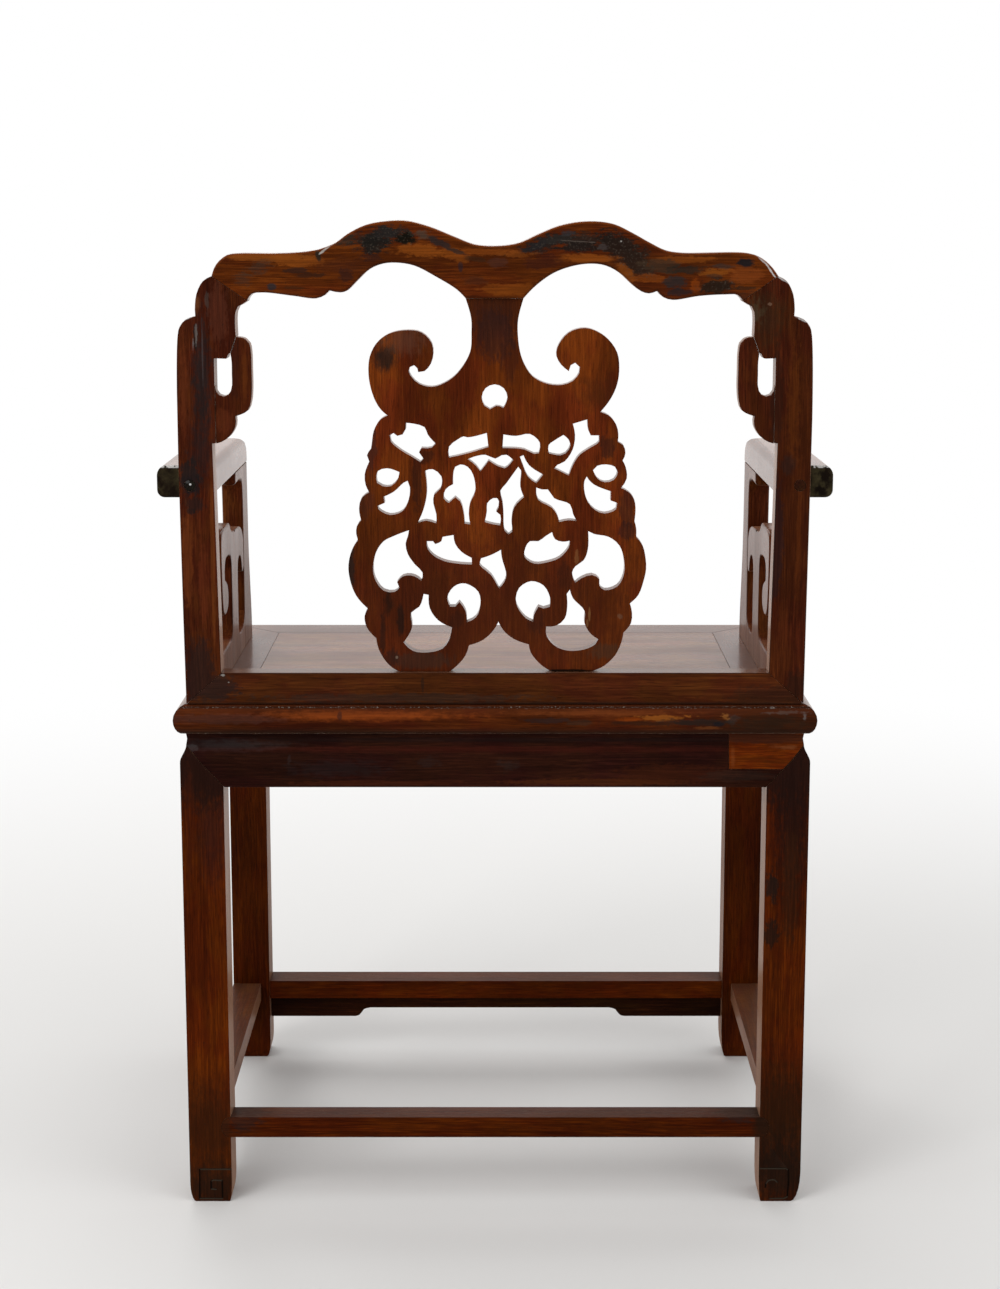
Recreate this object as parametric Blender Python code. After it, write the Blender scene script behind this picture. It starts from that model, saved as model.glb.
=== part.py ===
"""Oriental armchair in dark rosewood, as forty separate pieces with their joints.

Metres, +Z up. The origin is on the floor under the middle of the chair. +Y is the chair's back,
-Y its front, and +X the sitter's left. Pieces that meet keep a gap of GAP between their faces.
"""
import math

import bmesh
import bpy

# Clearances and curve steps
GAP = 0.0003
OVERRUN = 0.010
CURVE_STEP = 0.0042
CORNER_TURN = math.radians(62)
NOSE_FACETS = 5

# Seat
SEAT_WIDTH = 0.610
SEAT_DEPTH = 0.460
SEAT_HEIGHT = 0.500
SEAT_FRAME_THICKNESS = 0.029
SEAT_FRAME_WIDTH = 0.065
NOSE_RUN_TOP = 0.015
NOSE_RUN_BOTTOM = 0.009
NOSE_DROP = 0.0145
PANEL_THICKNESS = 0.011
PANEL_TONGUE = 0.007
PANEL_TONGUE_THICKNESS = 0.0055
MITRE_TENON_WIDTH = 0.024
MITRE_TENON_THICKNESS = 0.008
MITRE_TENON_REACH = 0.024
MITRE_TENON_DEPTH = 0.006
BATTEN_SPACING = 0.200
BATTEN_WIDTH = 0.026
BATTEN_NECK = 0.018
BATTEN_HEIGHT = 0.013
BATTEN_DOVETAIL = 0.004
BATTEN_TENON = 0.012
BATTEN_TENON_HEIGHT = 0.009

# Legs, feet and aprons
LEG_SETBACK_SIDE = 0.005
LEG_SETBACK_END = 0.0075
LEG_SIZE = 0.041
LEFT_FOOT_ROUND_HEIGHT = 0.020
RIGHT_FOOT_ROUND_HEIGHT = 0.031
LEFT_FOOT_ROUND = 0.0055
RIGHT_FOOT_ROUND = 0.0095
REAR_FOOT_ROUND_INSIDE = 0.0025
FRONT_FOOT_ROUND_INSIDE = 0.0055
WAIST_HEIGHT = 0.012
WAIST_INSET = 0.0055
WAIST_HOLLOW = 0.001
APRON_HEIGHT = 0.040
APRON_SHOULDER = 0.016
APRON_THICKNESS = 0.018
TONGUE_BASE = 0.006
TONGUE_TIP = 0.009
TONGUE_DEPTH = 0.006
TONGUE_RISE = 0.018
LEG_TENON_SIZE = 0.006
LEG_TENON_HEIGHT = 0.010
LEG_TENON_OFFSET = 0.0050
PATCH_LENGTH = 0.0775
PATCH_RISE = 0.0175
PATCH_DEPTH = 0.006

# Stretchers and the stepped boards under them
REAR_STRETCHER_TOP = 0.087
SIDE_STRETCHER_TOP = 0.0895
FRONT_STRETCHER_TOP = 0.092
STRETCHER_HEIGHT = 0.0205
REAR_STRETCHER_WIDTH = 0.028
SIDE_STRETCHER_WIDTH = 0.031
FRONT_STRETCHER_WIDTH = 0.034
FRONT_STRETCHER_INSET = 0.006
STRETCHER_TENON = 0.019
STRETCHER_TENON_WIDTH = 0.009
STRETCHER_TENON_HEIGHT = 0.012
SHOULDER_LAP = 0.009
SHOULDER_SKIN = 0.007
SKIRT_THICKNESS = 0.010
SKIRT_DROP = 0.0155
SKIRT_END_DROP = 0.0258
SKIRT_TONGUE = 0.004
SKIRT_END_LENGTH = 0.110
SKIRT_RIGHT_END_LENGTH = 0.1245
SKIRT_STEP = 0.013

# Back
BACK_SETBACK = 0.0125
BACK_RISE = 0.4515
BACK_THICKNESS = 0.0245
BACK_RAIL_HEIGHT = 0.030
POST_FOOT_WIDTH = 0.0335
POST_WAIST_WIDTH = 0.0297
POST_TENON = 0.017
POST_TENON_WIDTH = 0.012
POST_TENON_THICKNESS = 0.008
RAIL_TENON = 0.012
RAIL_TENON_WIDTH = 0.024
RAIL_TENON_THICKNESS = 0.010
RAIL_TENON_SPACING = 0.300
RAIL_KEY = 0.016
RAIL_KEY_HEIGHT = 0.012
SPLAT_THICKNESS = 0.015
SPLAT_INSET = 0.006
SPLAT_TENON = 0.010
SPLAT_TENON_THICKNESS = 0.007
SPLAT_NECK_TENON_WIDTH = 0.030
SPLAT_FOOT_TENON_WIDTH = 0.024
BRACKET_THICKNESS = 0.016
BRACKET_INSET = 0.0004
BRACKET_KEY = 0.005
BRACKET_KEY_HEIGHT = 0.016
BRACKET_KEY_THICKNESS = 0.006

# Arms
ARM_BEARING = 0.0245
ARM_RAIL_WIDTH = 0.0505
ARM_HEIGHT = 0.194
ARM_RAIL_THICKNESS = 0.028
ARM_RAIL_CROWN = 0.0045
ARM_RAIL_ROUND = 0.007
ARM_RAIL_INNER_ROUND = 0.0015
ARM_CORNER_ROUND = 0.014
ARM_LENGTH = 0.3255
ARM_NOSE_LENGTH = 0.090
ARM_TENON = 0.013
ARM_TENON_WIDTH = 0.0075
ARM_TENON_HEIGHT = 0.014
FRET_THICKNESS = 0.022
FRET_SEAT_TENON = 0.008
FRET_SEAT_TENON_WIDTH = 0.008
FRET_SEAT_TENON_LENGTH = 0.022
FRET_KEY = 0.004
FRET_KEY_HEIGHT = 0.012
FRET_KEY_THICKNESS = 0.008
SUPPORT_TENON = 0.012
SUPPORT_TENON_WIDTH = 0.010
SUPPORT_TENON_LENGTH = 0.022
PEG_DIAMETER = 0.0105
PEG_IN_RAIL = 0.020
PEG_INSET = 0.0080
PEG_SIDES = 20

# Sizes that follow from the ones above
LEG_SPREAD = SEAT_WIDTH - 2 * LEG_SETBACK_SIDE
LEG_STANCE = SEAT_DEPTH - 2 * LEG_SETBACK_END
PATCH_START = LEG_SPREAD / 2 - PATCH_LENGTH
SEAT_UNDERSIDE = SEAT_HEIGHT - SEAT_FRAME_THICKNESS
SHOULDER_LEVEL = SEAT_UNDERSIDE - WAIST_HEIGHT
APRON_LEVEL = SHOULDER_LEVEL - APRON_HEIGHT
HALF_BACK = SEAT_WIDTH / 2 - BACK_SETBACK
BACK_PLANE = LEG_STANCE / 2
BACK_FRONT = BACK_PLANE - BACK_THICKNESS
BACK_RAIL_TOP = SEAT_HEIGHT + BACK_RAIL_HEIGHT
ARM_UNDERSIDE = SEAT_HEIGHT + ARM_HEIGHT
ARM_INSIDE = HALF_BACK - ARM_BEARING
ARM_OUTSIDE = ARM_INSIDE + ARM_RAIL_WIDTH
FRET_OUTSIDE = ARM_INSIDE + FRET_THICKNESS
SPLAT_BACK = BACK_PLANE - SPLAT_INSET
BRACKET_BACK = BACK_PLANE - BRACKET_INSET

# A point's corner mark: the curve through its neighbours breaks here
CORNER = True

# Outlines of the back. Each point is (across, up), in shares of half the back's width, from the
# middle, and of the back's rise above the seat. +1 across is the sitter's left post.
CREST_TOP_SHARES = (
    (0.890, 0.888, CORNER), (0.876, 0.911), (0.840, 0.931), (0.808, 0.934), (0.686, 0.934), (0.602, 0.937),
    (0.553, 0.942), (0.539, 0.945), (0.498, 0.956), (0.462, 0.973), (0.405, 0.991), (0.336, 0.999),
    (0.273, 0.999), (0.203, 0.987), (0.126, 0.967), (0.064, 0.952), (-0.009, 0.949), (-0.075, 0.955),
    (-0.138, 0.973), (-0.200, 0.989), (-0.263, 0.997), (-0.319, 0.998), (-0.375, 0.992), (-0.431, 0.975),
    (-0.487, 0.955), (-0.536, 0.940), (-0.585, 0.935), (-0.796, 0.934), (-0.838, 0.924), (-0.873, 0.904),
    (-0.890, 0.888, CORNER),
)
CREST_UNDER_RIGHT_SHARES = (
    (-0.779, 0.838, CORNER), (-0.763, 0.850), (-0.727, 0.851), (-0.644, 0.848), (-0.560, 0.840),
    (-0.531, 0.845), (-0.510, 0.858, CORNER), (-0.485, 0.853), (-0.461, 0.857), (-0.433, 0.870),
    (-0.390, 0.895), (-0.348, 0.909), (-0.306, 0.913), (-0.250, 0.909), (-0.187, 0.895), (-0.131, 0.870),
    (-0.090, 0.843, CORNER),
)
CREST_UNDER_LEFT_SHARES = (
    (0.092, 0.843, CORNER), (0.120, 0.861), (0.183, 0.886), (0.253, 0.909), (0.309, 0.915), (0.351, 0.913),
    (0.393, 0.902), (0.435, 0.877), (0.464, 0.859), (0.485, 0.855), (0.520, 0.859, CORNER), (0.534, 0.850),
    (0.562, 0.843), (0.632, 0.848), (0.730, 0.855), (0.765, 0.852), (0.779, 0.838, CORNER),
)
POST_LOBE_SHARES = (
    (0.890, 0.888, CORNER), (0.917, 0.878), (0.938, 0.852), (0.944, 0.820), (0.943, 0.807, CORNER),
    (0.973, 0.801), (0.993, 0.786), (1.000, 0.768),
)
POST_HEAD_SHARES = (
    (0.836, 0.733, CORNER), (0.817, 0.767, CORNER), (0.816, 0.816), (0.808, 0.827), (0.796, 0.831),
    (0.779, 0.838, CORNER),
)
POST_LOOP_SHARES = ((0.887, 0.722, CORNER), (0.848, 0.721, CORNER), (0.842, 0.730))
POST_STEP_SHARE = 0.887
POST_MITRE_SHARES = ((0.8345, 0.863),)
CREST_MITRE_SHARES = (0.777, 0.889)
BRACKET_FOOT_SHARE = 0.548
BRACKET_SHARES = (
    (0.816, 0.766, CORNER), (0.790, 0.763), (0.776, 0.753), (0.771, 0.735), (0.770, 0.700), (0.770, 0.660),
    (0.774, 0.634), (0.784, 0.616), (0.824, 0.604, CORNER), (0.824, 0.584), (0.843, 0.563), (0.870, 0.551),
)
BRACKET_LOOP_SHARES = (
    (0.884, 0.656), (0.875, 0.648), (0.860, 0.645), (0.846, 0.648), (0.837, 0.656), (0.833, 0.668),
    (0.833, 0.690), (0.833, 0.715), (0.836, 0.731, CORNER),
)
LOOP_FOOT_SHARE = 0.666

SPLAT_NECK_LEFT_SHARES = ((0.075, 0.803), (0.074, 0.776), (0.079, 0.733))
SPLAT_LEFT_SHARES = (
    (0.119, 0.691), (0.160, 0.671), (0.200, 0.663), (0.240, 0.669), (0.263, 0.682), (0.273, 0.695),
    (0.270, 0.703), (0.256, 0.707), (0.246, 0.701), (0.243, 0.693, CORNER), (0.223, 0.695), (0.203, 0.710),
    (0.195, 0.731), (0.199, 0.751), (0.219, 0.768), (0.245, 0.777), (0.305, 0.777), (0.345, 0.768),
    (0.376, 0.751), (0.396, 0.725), (0.401, 0.699), (0.397, 0.669), (0.380, 0.634), (0.361, 0.615),
    (0.341, 0.604, CORNER), (0.364, 0.596), (0.385, 0.574), (0.392, 0.548), (0.395, 0.535, CORNER),
    (0.408, 0.522), (0.401, 0.509, CORNER), (0.416, 0.482), (0.413, 0.460), (0.402, 0.445, CORNER),
    (0.427, 0.433), (0.435, 0.411), (0.429, 0.387, CORNER), (0.443, 0.374), (0.445, 0.358),
    (0.440, 0.345, CORNER), (0.459, 0.325), (0.471, 0.294), (0.467, 0.263), (0.447, 0.228),
    (0.410, 0.201, CORNER), (0.421, 0.185), (0.414, 0.161), (0.384, 0.138, CORNER), (0.377, 0.116),
    (0.354, 0.089), (0.332, 0.075),
)
SPLAT_LEFT_FOOT_SHARES = (0.310, 0.146)
SPLAT_CROTCH_SHARES = (
    (0.115, 0.085), (0.095, 0.102), (0.084, 0.123, CORNER), (0.040, 0.134), (0.006, 0.154),
    (-0.011, 0.173, CORNER), (-0.028, 0.154), (-0.062, 0.136), (-0.109, 0.125, CORNER), (-0.116, 0.107),
    (-0.140, 0.087), (-0.162, 0.075),
)
SPLAT_RIGHT_FOOT_SHARES = (-0.185, -0.312)
SPLAT_RIGHT_SHARES = (
    (-0.335, 0.073), (-0.355, 0.080), (-0.389, 0.102), (-0.409, 0.130), (-0.415, 0.150, CORNER),
    (-0.439, 0.170), (-0.442, 0.192), (-0.435, 0.212, CORNER), (-0.462, 0.230), (-0.478, 0.259),
    (-0.486, 0.285), (-0.484, 0.307), (-0.474, 0.334), (-0.453, 0.352, CORNER), (-0.453, 0.369),
    (-0.447, 0.385, CORNER), (-0.450, 0.413), (-0.445, 0.431), (-0.431, 0.444), (-0.403, 0.454, CORNER),
    (-0.421, 0.474), (-0.417, 0.498), (-0.407, 0.511, CORNER), (-0.416, 0.526), (-0.409, 0.543),
    (-0.391, 0.550, CORNER), (-0.393, 0.565), (-0.386, 0.585), (-0.362, 0.604), (-0.335, 0.611, CORNER),
    (-0.368, 0.639), (-0.388, 0.669), (-0.394, 0.703), (-0.387, 0.733), (-0.360, 0.759), (-0.323, 0.776),
    (-0.286, 0.783), (-0.246, 0.778), (-0.220, 0.766), (-0.197, 0.742), (-0.195, 0.725), (-0.210, 0.708),
    (-0.234, 0.695, CORNER), (-0.240, 0.707), (-0.254, 0.712), (-0.269, 0.703), (-0.267, 0.691),
    (-0.247, 0.675), (-0.214, 0.667), (-0.167, 0.669), (-0.120, 0.684), (-0.094, 0.708), (-0.080, 0.733),
)
SPLAT_NECK_RIGHT_SHARES = ((-0.072, 0.776), (-0.074, 0.803))
NECK_LEFT_SHARE = 0.092
NECK_RIGHT_SHARE = -0.090
NECK_SEAM_SHARE = 0.843

# The openings of the splat's openwork, top to bottom
MOON_SHARES = (
    (0.033, 0.624), (0.042, 0.641), (0.030, 0.660), (0.001, 0.668), (-0.028, 0.660), (-0.040, 0.641),
    (-0.031, 0.624), (-0.027, 0.620), (-0.004, 0.624), (0.016, 0.617),
)
LEAF_LEFT_SHARES = (
    (0.283, 0.589, CORNER), (0.257, 0.587), (0.224, 0.580), (0.214, 0.565), (0.189, 0.546), (0.201, 0.538),
    (0.234, 0.537, CORNER), (0.242, 0.528), (0.228, 0.515), (0.238, 0.508), (0.265, 0.519), (0.301, 0.533),
    (0.331, 0.550), (0.335, 0.563), (0.323, 0.568), (0.311, 0.562), (0.294, 0.565), (0.284, 0.576),
)
SLOT_LEFT_SHARES = (
    (0.146, 0.540), (0.120, 0.554), (0.100, 0.561), (0.087, 0.559), (0.026, 0.568, CORNER),
    (0.021, 0.539, CORNER), (0.087, 0.526), (0.147, 0.517, CORNER),
)
SLOT_RIGHT_SHARES = (
    (-0.027, 0.565, CORNER), (-0.068, 0.562), (-0.111, 0.566), (-0.143, 0.548), (-0.140, 0.526, CORNER),
    (-0.125, 0.525), (-0.094, 0.534), (-0.024, 0.537, CORNER),
)
BUD_RIGHT_SHARES = (
    (-0.171, 0.543), (-0.188, 0.552), (-0.218, 0.564), (-0.235, 0.554), (-0.241, 0.543), (-0.225, 0.526),
    (-0.209, 0.522), (-0.172, 0.526, CORNER),
)
LEAF_RIGHT_SHARES = (
    (-0.248, 0.587, CORNER), (-0.294, 0.596, CORNER), (-0.297, 0.574), (-0.305, 0.563, CORNER),
    (-0.332, 0.563), (-0.332, 0.550), (-0.302, 0.537), (-0.269, 0.522), (-0.249, 0.502),
    (-0.236, 0.480, CORNER), (-0.189, 0.495, CORNER), (-0.199, 0.502), (-0.222, 0.509), (-0.242, 0.526),
    (-0.252, 0.543), (-0.255, 0.565),
)
BAT_SHARES = (
    (0.087, 0.514, CORNER), (0.067, 0.519), (0.030, 0.523), (-0.001, 0.515), (-0.021, 0.522),
    (-0.037, 0.523), (-0.058, 0.512, CORNER), (-0.031, 0.495), (-0.011, 0.499), (0.020, 0.511, CORNER),
    (0.047, 0.488, CORNER), (0.060, 0.500),
)
BLADE_SHARES = (
    (-0.079, 0.519), (-0.091, 0.522), (-0.108, 0.502), (-0.154, 0.482, CORNER), (-0.132, 0.464, CORNER),
    (-0.105, 0.478), (-0.091, 0.498),
)
EYE_LEFT_SHARES = (
    (0.379, 0.474), (0.374, 0.489), (0.345, 0.495), (0.305, 0.487), (0.309, 0.474), (0.332, 0.458),
    (0.359, 0.458), (0.377, 0.465),
)
EYE_RIGHT_SHARES = (
    (-0.313, 0.491), (-0.326, 0.500), (-0.356, 0.503), (-0.383, 0.498), (-0.392, 0.487), (-0.380, 0.471),
    (-0.350, 0.466), (-0.327, 0.474),
)
PETAL_LEFT_SHARES = (
    (0.279, 0.469), (0.272, 0.456), (0.276, 0.430), (0.296, 0.406), (0.337, 0.398), (0.373, 0.410),
    (0.375, 0.417), (0.353, 0.423, CORNER), (0.356, 0.436), (0.322, 0.447), (0.292, 0.465),
)
PETAL_RIGHT_SHARES = (
    (-0.293, 0.478), (-0.300, 0.471), (-0.317, 0.461), (-0.371, 0.447), (-0.370, 0.428, CORNER),
    (-0.391, 0.423), (-0.388, 0.410), (-0.351, 0.401), (-0.321, 0.408), (-0.297, 0.425), (-0.285, 0.452),
    (-0.286, 0.469),
)
VASE_LEFT_SHARES = (
    (0.223, 0.490, CORNER), (0.198, 0.493), (0.171, 0.478), (0.174, 0.453), (0.195, 0.440), (0.197, 0.422),
    (0.188, 0.400), (0.188, 0.380, CORNER), (0.222, 0.386), (0.249, 0.380, CORNER), (0.229, 0.409),
    (0.218, 0.444),
)
VASE_RIGHT_SHARES = (
    (-0.132, 0.455, CORNER), (-0.149, 0.451), (-0.169, 0.451), (-0.189, 0.433), (-0.240, 0.420),
    (-0.250, 0.400), (-0.262, 0.385, CORNER), (-0.237, 0.387), (-0.206, 0.383, CORNER), (-0.199, 0.398),
    (-0.182, 0.413), (-0.139, 0.429), (-0.132, 0.444),
)
BIRD_SHARES = (
    (0.134, 0.478), (0.127, 0.498), (0.110, 0.503), (0.087, 0.498), (0.070, 0.482), (0.063, 0.448),
    (0.080, 0.422), (0.084, 0.400), (0.079, 0.378, CORNER), (0.097, 0.380, CORNER), (0.101, 0.405),
    (0.111, 0.426), (0.127, 0.435), (0.148, 0.423), (0.164, 0.433), (0.158, 0.451), (0.134, 0.462, CORNER),
)
FLAME_SHARES = (
    (-0.074, 0.498, CORNER), (-0.083, 0.491), (-0.081, 0.457), (-0.093, 0.435, CORNER), (-0.061, 0.413),
    (-0.053, 0.383), (-0.055, 0.363), (-0.044, 0.357), (-0.031, 0.365), (-0.027, 0.405), (-0.024, 0.426),
    (-0.017, 0.448), (-0.034, 0.462),
)
SEED_SHARES = (
    (-0.007, 0.433), (-0.013, 0.426), (-0.011, 0.413), (-0.004, 0.405), (-0.017, 0.398),
    (-0.017, 0.376, CORNER), (0.003, 0.378), (0.033, 0.383, CORNER), (0.026, 0.405), (0.025, 0.422),
    (0.006, 0.433),
)
SCROLL_LEFT_SHARES = (
    (0.276, 0.366, CORNER), (0.280, 0.352), (0.287, 0.338), (0.280, 0.316), (0.257, 0.294), (0.233, 0.277),
    (0.237, 0.259, CORNER), (0.247, 0.265), (0.270, 0.271), (0.297, 0.269), (0.315, 0.257), (0.308, 0.245),
    (0.325, 0.236), (0.359, 0.239), (0.386, 0.263), (0.392, 0.290), (0.381, 0.321), (0.357, 0.343),
    (0.324, 0.354),
)
SCROLL_RIGHT_SHARES = (
    (-0.299, 0.364, CORNER), (-0.318, 0.358), (-0.365, 0.352), (-0.399, 0.334), (-0.415, 0.303),
    (-0.414, 0.272), (-0.394, 0.248), (-0.353, 0.240), (-0.336, 0.250), (-0.336, 0.263), (-0.312, 0.272),
    (-0.278, 0.265), (-0.258, 0.255, CORNER), (-0.248, 0.277), (-0.258, 0.290), (-0.285, 0.303),
    (-0.298, 0.325),
)
FIN_LEFT_SHARES = (
    (0.219, 0.343, CORNER), (0.199, 0.343), (0.192, 0.337, CORNER), (0.172, 0.343), (0.168, 0.352),
    (0.133, 0.356, CORNER), (0.128, 0.338), (0.108, 0.321), (0.075, 0.308, CORNER), (0.074, 0.294, CORNER),
    (0.121, 0.296), (0.162, 0.301), (0.196, 0.312), (0.216, 0.327),
)
FIN_RIGHT_SHARES = (
    (-0.183, 0.362, CORNER), (-0.193, 0.347), (-0.217, 0.342), (-0.240, 0.344, CORNER), (-0.237, 0.330),
    (-0.207, 0.308), (-0.170, 0.299), (-0.126, 0.296), (-0.095, 0.310), (-0.098, 0.330), (-0.112, 0.343),
    (-0.139, 0.343), (-0.163, 0.354),
)
KITE_SHARES = (
    (-0.019, 0.325, CORNER), (-0.022, 0.308), (-0.036, 0.268), (-0.013, 0.243, CORNER), (0.013, 0.272),
    (0.050, 0.294), (0.045, 0.307, CORNER), (0.013, 0.314),
)
CURL_LEFT_SHARES = (
    (0.094, 0.254), (0.054, 0.237), (0.047, 0.210), (0.061, 0.183), (0.091, 0.172, CORNER), (0.095, 0.196),
    (0.115, 0.215, CORNER), (0.128, 0.205), (0.145, 0.205), (0.154, 0.223), (0.142, 0.241), (0.121, 0.252),
)
CURL_RIGHT_SHARES = (
    (-0.116, 0.259), (-0.156, 0.250), (-0.177, 0.225), (-0.177, 0.205), (-0.157, 0.201), (-0.140, 0.205),
    (-0.126, 0.188), (-0.123, 0.173, CORNER), (-0.099, 0.181), (-0.072, 0.205), (-0.067, 0.223),
    (-0.078, 0.245),
)
BOAT_LEFT_SHARES = (
    (0.230, 0.232, CORNER), (0.214, 0.230, CORNER), (0.210, 0.201), (0.183, 0.176), (0.139, 0.161, CORNER),
    (0.149, 0.134), (0.170, 0.116), (0.214, 0.108), (0.265, 0.111), (0.296, 0.129, CORNER), (0.268, 0.161),
    (0.271, 0.192), (0.244, 0.205),
)
BOAT_RIGHT_SHARES = (
    (-0.241, 0.241, CORNER), (-0.251, 0.223), (-0.289, 0.196), (-0.289, 0.170), (-0.310, 0.147),
    (-0.334, 0.136, CORNER), (-0.324, 0.125), (-0.287, 0.114), (-0.232, 0.112), (-0.191, 0.123),
    (-0.167, 0.143), (-0.165, 0.163, CORNER), (-0.198, 0.165), (-0.225, 0.180), (-0.233, 0.205),
    (-0.231, 0.232, CORNER),
)
OPENWORK_SHARES = (
    MOON_SHARES, LEAF_LEFT_SHARES, SLOT_LEFT_SHARES, SLOT_RIGHT_SHARES, BUD_RIGHT_SHARES,
    LEAF_RIGHT_SHARES, BAT_SHARES, BLADE_SHARES, EYE_LEFT_SHARES, EYE_RIGHT_SHARES, PETAL_LEFT_SHARES,
    PETAL_RIGHT_SHARES, VASE_LEFT_SHARES, VASE_RIGHT_SHARES, BIRD_SHARES, FLAME_SHARES, SEED_SHARES,
    SCROLL_LEFT_SHARES, SCROLL_RIGHT_SHARES, FIN_LEFT_SHARES, FIN_RIGHT_SHARES, KITE_SHARES,
    CURL_LEFT_SHARES, CURL_RIGHT_SHARES, BOAT_LEFT_SHARES, BOAT_RIGHT_SHARES,
)

# The wave at a step of the boards under the stretchers: (along, up) in shares of the step
SKIRT_WAVE_SHARES = ((0.30, 0.10), (0.55, 0.45), (0.75, 0.80), (1.0, 0.92))

# Outlines of an arm seen from its side. Each point is (along, up), in shares of the arm's length,
# from the post forwards, and of its clear height above the seat.
FRET_SEAM_SHARE = 0.601
SUPPORT_REAR_SHARE = 0.846
REAR_FRET_SHARES = (
    (0.000, 0.000, CORNER), (0.000, 0.155, CORNER), (0.430, 0.155), (0.470, 0.163), (0.490, 0.190),
    (0.496, 0.250), (0.496, 0.420), (0.492, 0.545), (0.478, 0.590), (0.440, 0.608), (0.380, 0.612),
    (0.335, 0.602), (0.315, 0.575), (0.312, 0.515, CORNER), (0.345, 0.500), (0.380, 0.475),
    (0.398, 0.430), (0.394, 0.370), (0.360, 0.335), (0.300, 0.330), (0.262, 0.360), (0.243, 0.430),
    (0.232, 0.560), (0.228, 0.700), (0.240, 0.752), (0.280, 0.772), (0.400, 0.775), (0.456, 0.778, CORNER),
    (0.500, 0.735), (0.550, 0.712), (0.601, 0.706, CORNER), (0.601, 0.000, CORNER),
)
FRONT_FRET_SHARES = (
    (0.601, 0.000, CORNER), (0.601, 0.706, CORNER), (0.680, 0.700), (0.760, 0.690), (0.810, 0.660),
    (0.846, 0.600, CORNER), (0.846, 0.455, CORNER), (0.822, 0.428), (0.795, 0.440), (0.783, 0.480),
    (0.760, 0.525), (0.715, 0.538), (0.678, 0.515), (0.667, 0.460), (0.667, 0.300), (0.668, 0.180),
    (0.680, 0.135), (0.720, 0.118), (0.780, 0.122), (0.825, 0.150), (0.846, 0.210, CORNER),
    (0.846, 0.000, CORNER),
)
SUPPORT_SHARES = (
    (0.846, 0.000, CORNER), (0.846, 0.870), (0.835, 0.915), (0.800, 0.935), (0.720, 0.938),
    (0.640, 0.935, CORNER), (0.652, 1.000, CORNER), (1.000, 1.000, CORNER), (1.001, 0.930),
    (1.006, 0.770), (1.020, 0.500), (1.048, 0.300), (1.072, 0.140), (1.080, 0.000, CORNER),
)
FRET_REAR_KEY_SHARE = 0.300
FRET_FRONT_KEY_SHARE = 0.520


def clear_scene():
    for item in list(bpy.data.objects):
        bpy.data.objects.remove(item, do_unlink=True)


def wood(name, colour, roughness):
    finish = bpy.data.materials.new(name)
    finish.use_nodes = True
    shader = finish.node_tree.nodes["Principled BSDF"]
    shader.inputs["Base Color"].default_value = (*colour, 1.0)
    shader.inputs["Roughness"].default_value = roughness
    shader.inputs["Metallic"].default_value = 0.0
    return finish


def solid(name, mesh_data, finish=None):
    """Turn a bmesh into an object with its faces pointing out."""
    bmesh.ops.recalc_face_normals(mesh_data, faces=mesh_data.faces)
    mesh = bpy.data.meshes.new(name)
    mesh_data.to_mesh(mesh)
    mesh_data.free()
    piece = bpy.data.objects.new(name, mesh)
    bpy.context.collection.objects.link(piece)
    if finish:
        mesh.materials.append(finish)
    return piece


def loft(name, rings, finish=None):
    """A closed solid through rings of equally many points."""
    mesh_data = bmesh.new()
    loops = [[mesh_data.verts.new(point) for point in ring] for ring in rings]
    count = len(loops[0])
    for low, high in zip(loops, loops[1:]):
        for i in range(count):
            mesh_data.faces.new((low[i], low[(i + 1) % count], high[(i + 1) % count], high[i]))
    mesh_data.faces.new(loops[0])
    mesh_data.faces.new(loops[-1])
    return solid(name, mesh_data, finish)


def block(low, high, finish=None, name="block"):
    """A rectangular solid between two corners, in any order."""
    (x0, y0, z0), (x1, y1, z1) = low, high
    rings = [[(x0, y0, z), (x1, y0, z), (x1, y1, z), (x0, y1, z)] for z in (z0, z1)]
    return loft(name, rings, finish)


def on_plane(axis, point, level):
    """Put a flat point on the plane across an axis."""
    a, b = point[0], point[1]
    return {"x": (level, a, b), "y": (a, level, b), "z": (a, b, level)}[axis]


def board(name, outline, axis, low, high, openings=(), finish=None):
    """A flat outline with openings, filled and extruded along an axis."""
    mesh_data = bmesh.new()
    edges = []
    for loop in (outline, *openings):
        verts = [mesh_data.verts.new(on_plane(axis, point, low)) for point in loop]
        edges += [mesh_data.edges.new((verts[i - 1], verts[i])) for i in range(len(verts))]
    if openings:
        bmesh.ops.triangle_fill(mesh_data, use_beauty=True, use_dissolve=False, edges=edges)
    else:
        bmesh.ops.contextual_create(mesh_data, geom=edges)
    faces = list(mesh_data.faces)
    grown = bmesh.ops.extrude_face_region(mesh_data, geom=faces, use_keep_orig=True)
    moved = [item for item in grown["geom"] if isinstance(item, bmesh.types.BMVert)]
    bmesh.ops.translate(mesh_data, verts=moved, vec=on_plane(axis, (0, 0), high - low))
    return solid(name, mesh_data, finish)


def boolean(piece, tool, operation):
    """Apply one exact Boolean and take the tool away."""
    change = piece.modifiers.new(operation.lower(), "BOOLEAN")
    change.operation = operation
    change.solver = "EXACT"
    change.object = tool
    bpy.context.view_layer.update()
    graph = bpy.context.evaluated_depsgraph_get()
    result = bpy.data.meshes.new_from_object(piece.evaluated_get(graph))
    old = piece.data
    piece.modifiers.clear()
    piece.data = result
    result.name = old.name
    bpy.data.meshes.remove(old)
    bpy.data.objects.remove(tool, do_unlink=True)
    return piece


def cut(piece, *tools):
    for tool in tools:
        boolean(piece, tool, "DIFFERENCE")
    return piece


def fuse(piece, *tools):
    for tool in tools:
        boolean(piece, tool, "UNION")
    return piece


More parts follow.
